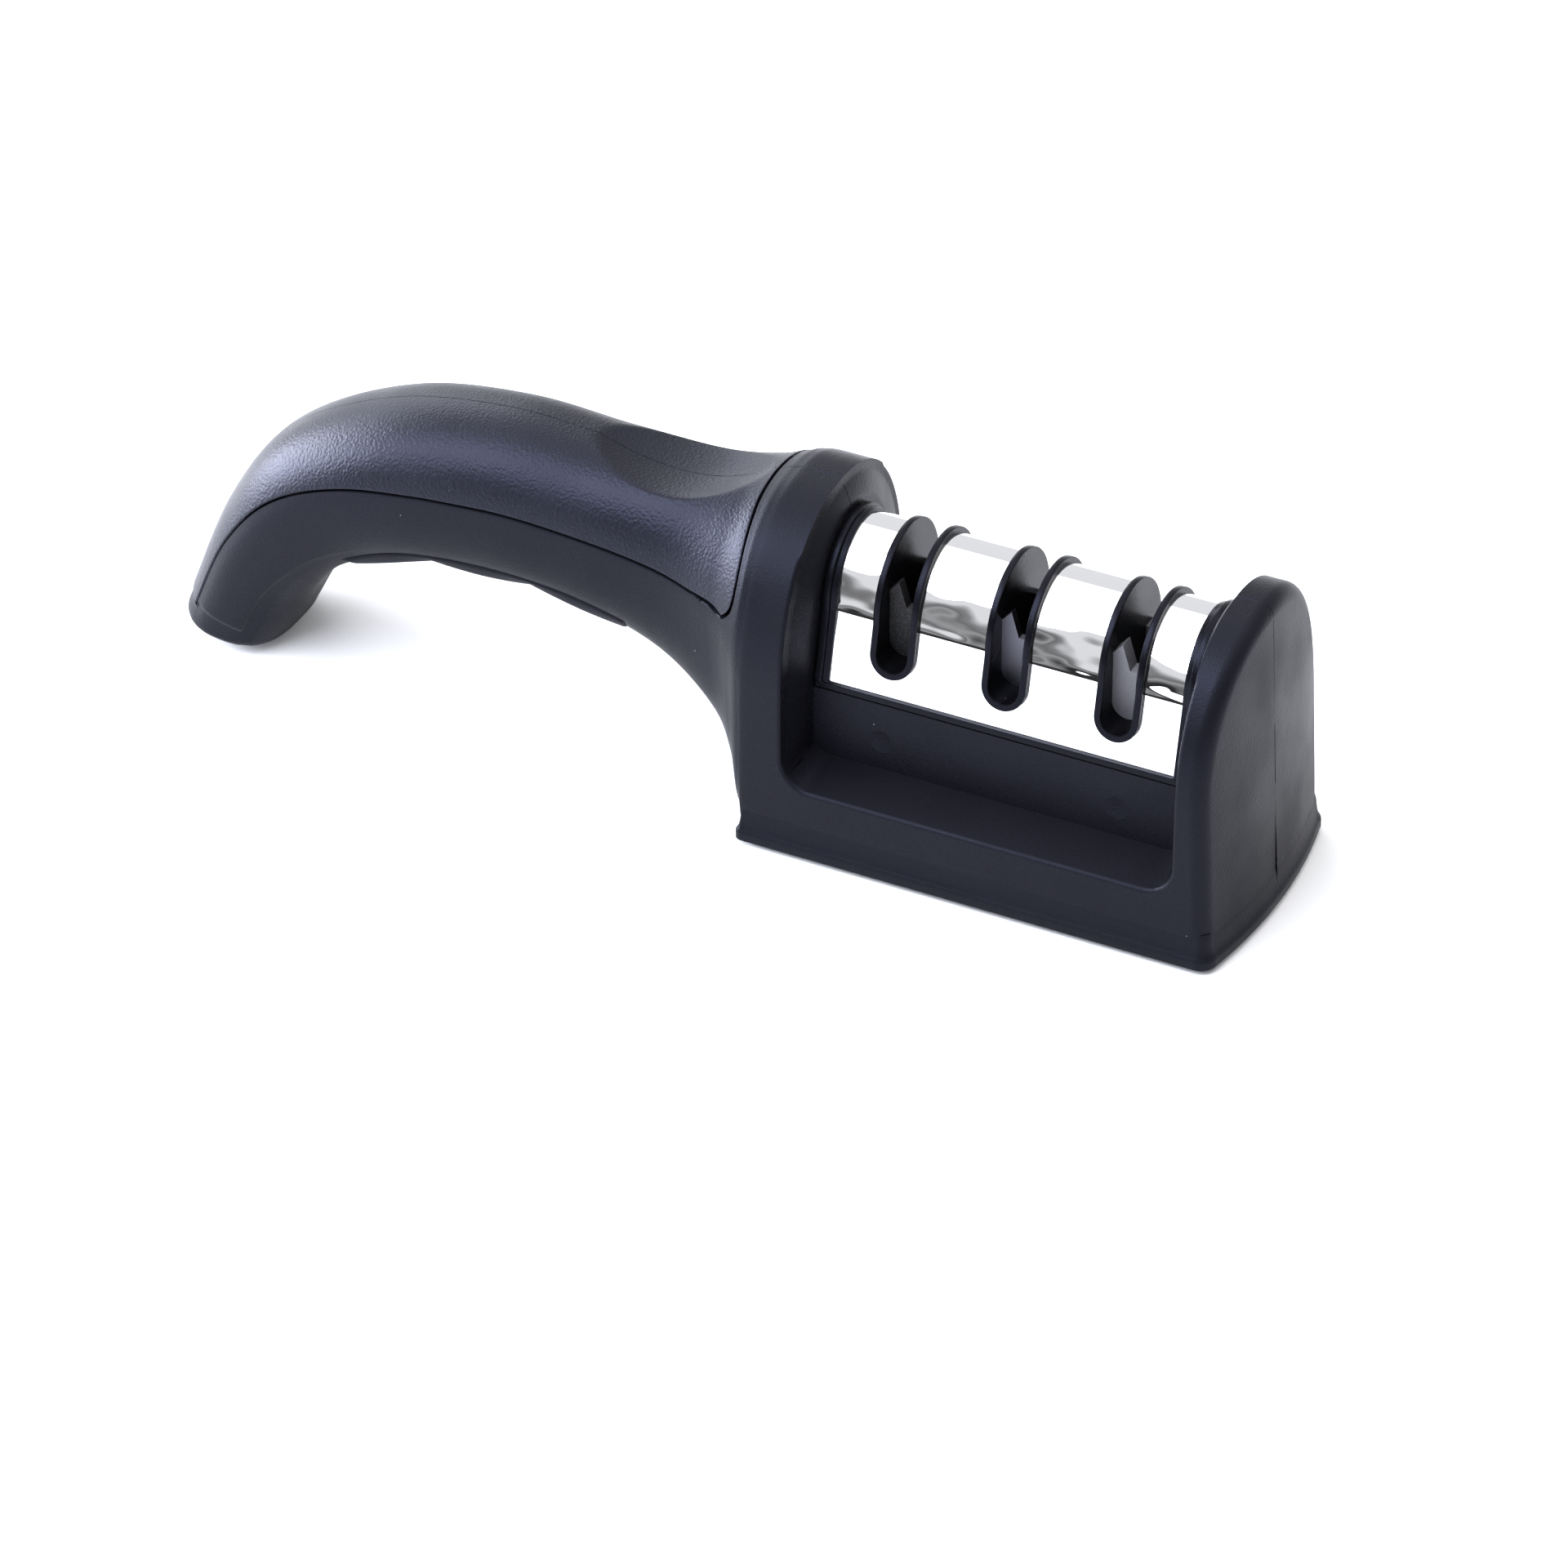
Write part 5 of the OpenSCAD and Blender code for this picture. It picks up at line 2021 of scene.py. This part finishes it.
@dataclass
class ScrewSet:
    """A group of like screws, set out by Geometry Nodes.

    Attributes:
        name: The node it stands for.
        body: The body it rides on.
        places: Where each screw's head seats.
        axis: Which way the shank points.
        head: Radius and height of the head.
        shank: Radius of the shank, and the screw's whole length.
        pitch: The least distance between threads.
        root: Radius of the thread's root, as a share of the shank's.
        tip: Radius where the tip starts, as the same share.
        arm: Half width, half length and depth of the recess's arms, as shares of the head's sizes.
    """

    name: str
    body: str
    places: Sequence[Point]
    axis: Point
    head: tuple[float, float]
    shank: tuple[float, float]
    pitch: float = 0.9
    root: float = 0.86
    tip: float = 0.7
    arm: tuple[float, float, float] = (0.16, 0.6, 0.62)

    def pattern(self) -> bpy.types.Object:
        """One screw along +Z with a domed head below, a cross recess and a pointed tip."""
        r, h = self.head
        s, long = self.shank
        centre = 0.02
        dome = [(0.55, 0.0), (0.85, 0.14), (0.97, 0.4), (1.0, 0.7), (1.0, 1.0)]
        profile = [(centre, 0.0)] + [(r * out, h * up) for out, up in dome] + [(s, h)]
        turns = max(int(long / self.pitch), 3)
        pitch = (long - h) / (turns + 1)
        for i in range(turns):
            z0 = h + (long - h) * (i + 0.2) / (turns + 1)
            profile += [(s * self.root, z0), (s, z0 + pitch * 0.4), (s * self.root, z0 + pitch * 0.75)]
        profile += [(s * self.tip, long - 0.3), (centre, long)]
        t = np.linspace(0, 2 * math.pi, 28, endpoint=False)
        rings = np.array([[[a * math.cos(u), a * math.sin(u), z] for u in t] for a, z in profile])
        screw = loft("screw_pattern", rings)
        wide, long_arm, deep = self.arm
        w, reach, d = r * wide, r * long_arm, h * deep
        for x, y in ((reach, w), (w, reach)):
            combine(screw, block("recess_arm", (-x, -y, BELOW), (x, y, d)), Cut.TAKE)
        smooth_shade(screw, 35.0)
        return settled(screw)

    def tree(self, pattern: bpy.types.Object) -> bpy.types.NodeTree:
        """The tree that puts one screw on each point.

        Args:
            pattern: The screw.

        Returns:
            The tree, with inputs for the turn and the scale.
        """
        tree = bpy.data.node_groups.new(f"{self.name}_layout", "GeometryNodeTree")
        sockets = (
            ("Geometry", "INPUT", "Geometry"),
            ("Turn", "INPUT", "Vector"),
            ("Size", "INPUT", "Float"),
            ("Geometry", "OUTPUT", "Geometry"),
        )
        add_sockets(tree, sockets)
        start, end = tree.nodes.new("NodeGroupInput"), tree.nodes.new("NodeGroupOutput")
        points = tree.nodes.new("GeometryNodeMeshToPoints")
        what = tree.nodes.new("GeometryNodeObjectInfo")
        what.inputs["Object"].default_value = pattern
        spread = tree.nodes.new("GeometryNodeInstanceOnPoints")
        whole = tree.nodes.new("GeometryNodeRealizeInstances")
        colour = tree.nodes.new("GeometryNodeSetMaterial")
        colour.inputs["Material"].default_value = ZINC.material()
        wire(tree, start.outputs["Geometry"], points.inputs["Mesh"])
        wire(tree, points.outputs["Points"], spread.inputs["Points"])
        wire(tree, what.outputs["Geometry"], spread.inputs["Instance"])
        wire(tree, start.outputs["Turn"], spread.inputs["Rotation"])
        wire(tree, start.outputs["Size"], spread.inputs["Scale"])
        wire(tree, spread.outputs["Instances"], whole.inputs["Geometry"])
        wire(tree, whole.outputs["Geometry"], colour.inputs["Geometry"])
        wire(tree, colour.outputs["Geometry"], end.inputs["Geometry"])
        return tree

    def build(self) -> None:
        """Builds and dresses the screws."""
        mesh = bpy.data.meshes.new(f"{self.name}_piece")
        mesh.from_pydata([[v * MM for v in p] for p in self.places], [], [])
        piece = placed(f"{self.name}_piece", mesh)
        pattern = self.pattern()
        turn = Vector(self.axis).to_track_quat("Z", "Y").to_euler()
        tree = self.tree(pattern)
        layout = piece.modifiers.new("layout", "NODES")
        layout.node_group = tree
        values = {"Turn": tuple(turn), "Size": 1.0}
        for item in tree.interface.items_tree:
            if item.in_out == "INPUT" and item.name in values:
                layout[item.identifier] = values[item.name]
        bpy.context.view_layer.update()
        settled(piece)
        discard(pattern)
        finish_piece(piece, ZINC, self.body, "screws", self.name)


# Plates that stay as the CAD made them


@dataclass
class PlainPlates:
    """The base plate, the foot pad and the head's foot, which keep their CAD shapes.

    Attributes:
        finishes: The name of each node and its finish.
    """

    finishes: tuple[tuple[str, Finish], ...] = (
        ("base_plate", SHELL),
        ("base_pad", FOOT_PAD),
        ("head_foot", CORE),
    )

    def build(self, nodes: dict[str, bpy.types.Object]) -> None:
        """Dresses the plates.

        Args:
            nodes: The CAD nodes by name.
        """
        for name, finish in self.finishes:
            node = nodes[name]
            node.data.materials.clear()
            node.data.materials.append(finish.material())
            LOG.info("%s: dressed", name)


# The studio


@dataclass(frozen=True)
class Lamp:
    """A soft light that looks at the object.

    Attributes:
        name: The light's name.
        place: Where it hangs, in metres.
        size: Its width and height, in metres.
        power_w: Its power.
        colour: Its colour.
        aim: What it looks at, in metres.
    """

    name: str
    place: Point
    size: tuple[float, float]
    power_w: float
    colour: Point
    aim: Point = (-0.03, 0.0, 0.03)

    def hang(self) -> None:
        """Puts the light in the scene."""
        data = bpy.data.lights.new(self.name, "AREA")
        data.shape, data.size, data.size_y = "RECTANGLE", self.size[0], self.size[1]
        data.energy, data.color = self.power_w, self.colour
        lamp = placed(self.name, data)
        lamp.location = self.place
        lamp.rotation_euler = (Vector(self.aim) - Vector(self.place)).to_track_quat("-Z", "Y").to_euler()


@dataclass
class Studio:
    """Floor, light and camera.

    Attributes:
        eye: The camera's place, in metres.
        right: The image's right in the object's frame.
        up: The image's up.
        lens: Focal length on a 36 mm sensor.
        lamps: The lights.
        floor_half: Half the floor's width.
        sky: Height and grey of the surround, from the horizon up.
        sky_tint: The tint of those greys.
        behind: The surround's colour behind the object.
        behind_range: Where across the view it starts and is reached.
        sky_strength: How bright the surround is.
    """

    eye: Point = (0.46522, -1.04373, 0.81897)
    right: Point = (0.89757, 0.44088, 0.0)
    up: Point = (-0.25470, 0.51854, 0.81624)
    lens: float = 187.5
    lamps: tuple[Lamp, ...] = (
        Lamp("overhead", (0.0, 0.0, 1.6), (2.4, 2.0), 26.0, (1.0, 0.99, 0.98)),
        Lamp("back", (-1.3, 0.95, 0.75), (1.3, 0.9), 13.0, (0.9, 0.93, 1.0)),
        Lamp("left", (-1.25, -0.1, 0.30), (1.0, 0.55), 42.0, (0.86, 0.9, 1.0)),
        Lamp("front_left", (-0.5, -0.75, 0.95), (1.1, 0.8), 24.0, (0.84, 0.88, 1.0)),
        Lamp("right", (0.95, 0.45, 0.7), (0.6, 0.6), 0.7, (0.95, 0.96, 1.0)),
    )
    floor_half: float = 1500.0
    sky: tuple[tuple[float, float], ...] = (
        (0.0, 0.03), (0.045, 0.04), (0.075, 0.12), (0.11, 0.24), (0.15, 0.42), (0.19, 0.2), (0.24, 0.3),
        (0.32, 0.93), (1.0, 1.0),
    )
    sky_tint: Point = (0.97, 0.98, 1.0)
    behind: tuple[float, float, float, float] = (0.95, 0.96, 0.98, 1.0)
    behind_range: tuple[float, float] = (-0.35, 0.1)
    sky_strength: float = 0.9

    def camera(self) -> None:
        """Puts the camera where the photograph was taken from."""
        data = bpy.data.cameras.new("camera")
        data.lens, data.sensor_width = self.lens, 36.0
        data.clip_start, data.clip_end = 0.05, 20.0
        camera = placed("camera", data)
        back = Vector(self.right).cross(Vector(self.up))
        turn = Matrix((self.right, self.up, back)).transposed()
        camera.matrix_world = Matrix.Translation(self.eye) @ turn.to_4x4()
        bpy.context.scene.camera = camera

    def floor(self) -> None:
        """A plain pale floor."""
        h = self.floor_half
        points = np.array([[-h, -h, 0], [h, -h, 0], [h, h, 0], [-h, h, 0]], float)
        mesh = bpy.data.meshes.new("floor")
        mesh.from_pydata((points * MM).tolist(), [], [[0, 1, 2, 3]])
        floor = bpy.data.objects.new("floor", mesh)
        bpy.context.scene.collection.objects.link(floor)
        paper = Finish("pale_floor", (0.82, 0.82, 0.825), 0.85)
        mesh.materials.append(paper.material())

    def world(self) -> None:
        """A pale surround, greyer towards the horizon."""
        world = bpy.data.worlds.new("studio")
        world.use_nodes = True
        tree = world.node_tree
        ground = tree.nodes["Background"]
        place = tree.nodes.new("ShaderNodeTexCoord")
        split = tree.nodes.new("ShaderNodeSeparateXYZ")
        ramp = tree.nodes.new("ShaderNodeValToRGB")
        wire(tree, place.outputs["Generated"], split.inputs["Vector"])
        wire(tree, split.outputs["Z"], ramp.inputs["Fac"])
        stops = ramp.color_ramp.elements
        stops[0].position, stops[1].position = self.sky[0][0], self.sky[-1][0]
        for at, _ in self.sky[1:-1]:
            stops.new(at)
        for stop, (_, grey) in zip(stops, self.sky):
            stop.color = (*(grey * tint for tint in self.sky_tint), 1.0)
        turned = move_range(tree, split.outputs["Y"], self.behind_range, smooth=True)
        wire(tree, blended(tree, ramp.outputs["Color"], self.behind, turned), ground.inputs["Color"])
        ground.inputs["Strength"].default_value = self.sky_strength
        bpy.context.scene.world = world

    def build(self) -> None:
        """Sets the studio up."""
        self.camera()
        self.floor()
        self.world()
        for lamp in self.lamps:
            lamp.hang()
        bpy.context.scene.view_settings.view_transform = "Standard"


def four(x: float, y: float, z: float) -> list[Point]:
    """Four places round the middle, at one height."""
    return [(a * x, b * y, z) for a in (-1, 1) for b in (-1, 1)]


def build_screws(housing: Housing) -> None:
    """Builds the three sets of screws.

    Args:
        housing: The housing that the long ones hold together.
    """
    across, upwards = (0, -1, 0), (0, 0, 1)
    head, shank, beyond_seat = (2.7, 1.8), 1.45, 10.3
    tops = [(x, seat + head[1], z) for x, seat, z in housing.screw_seats()]
    long = beyond_seat + housing.grip_seat
    ScrewSet("housing_screws", "housing", tops, across, head, (shank, long)).build()
    small, thin = (2.2, 0.9), 1.1
    places = four(32.35, 16.7, 1.6)
    ScrewSet("base_screws", "housing", places, upwards, small, (thin, 7.5)).build()
    places = four(10.4, 5.0, 27.2)
    ScrewSet("head_screws", "head", places, upwards, small, (thin, 9.1)).build()


def main() -> None:
    """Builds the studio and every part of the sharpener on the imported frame."""
    logging.basicConfig(level=logging.INFO, format="%(name)s %(message)s")
    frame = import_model()
    Studio().build()
    form = GripForm()
    housing = Housing(form)
    housing.build()
    SoftGrip(form).build()
    Head().build()
    PlainPlates().build(frame["nodes"])
    build_screws(housing)


if __name__ == "__main__":
    main()
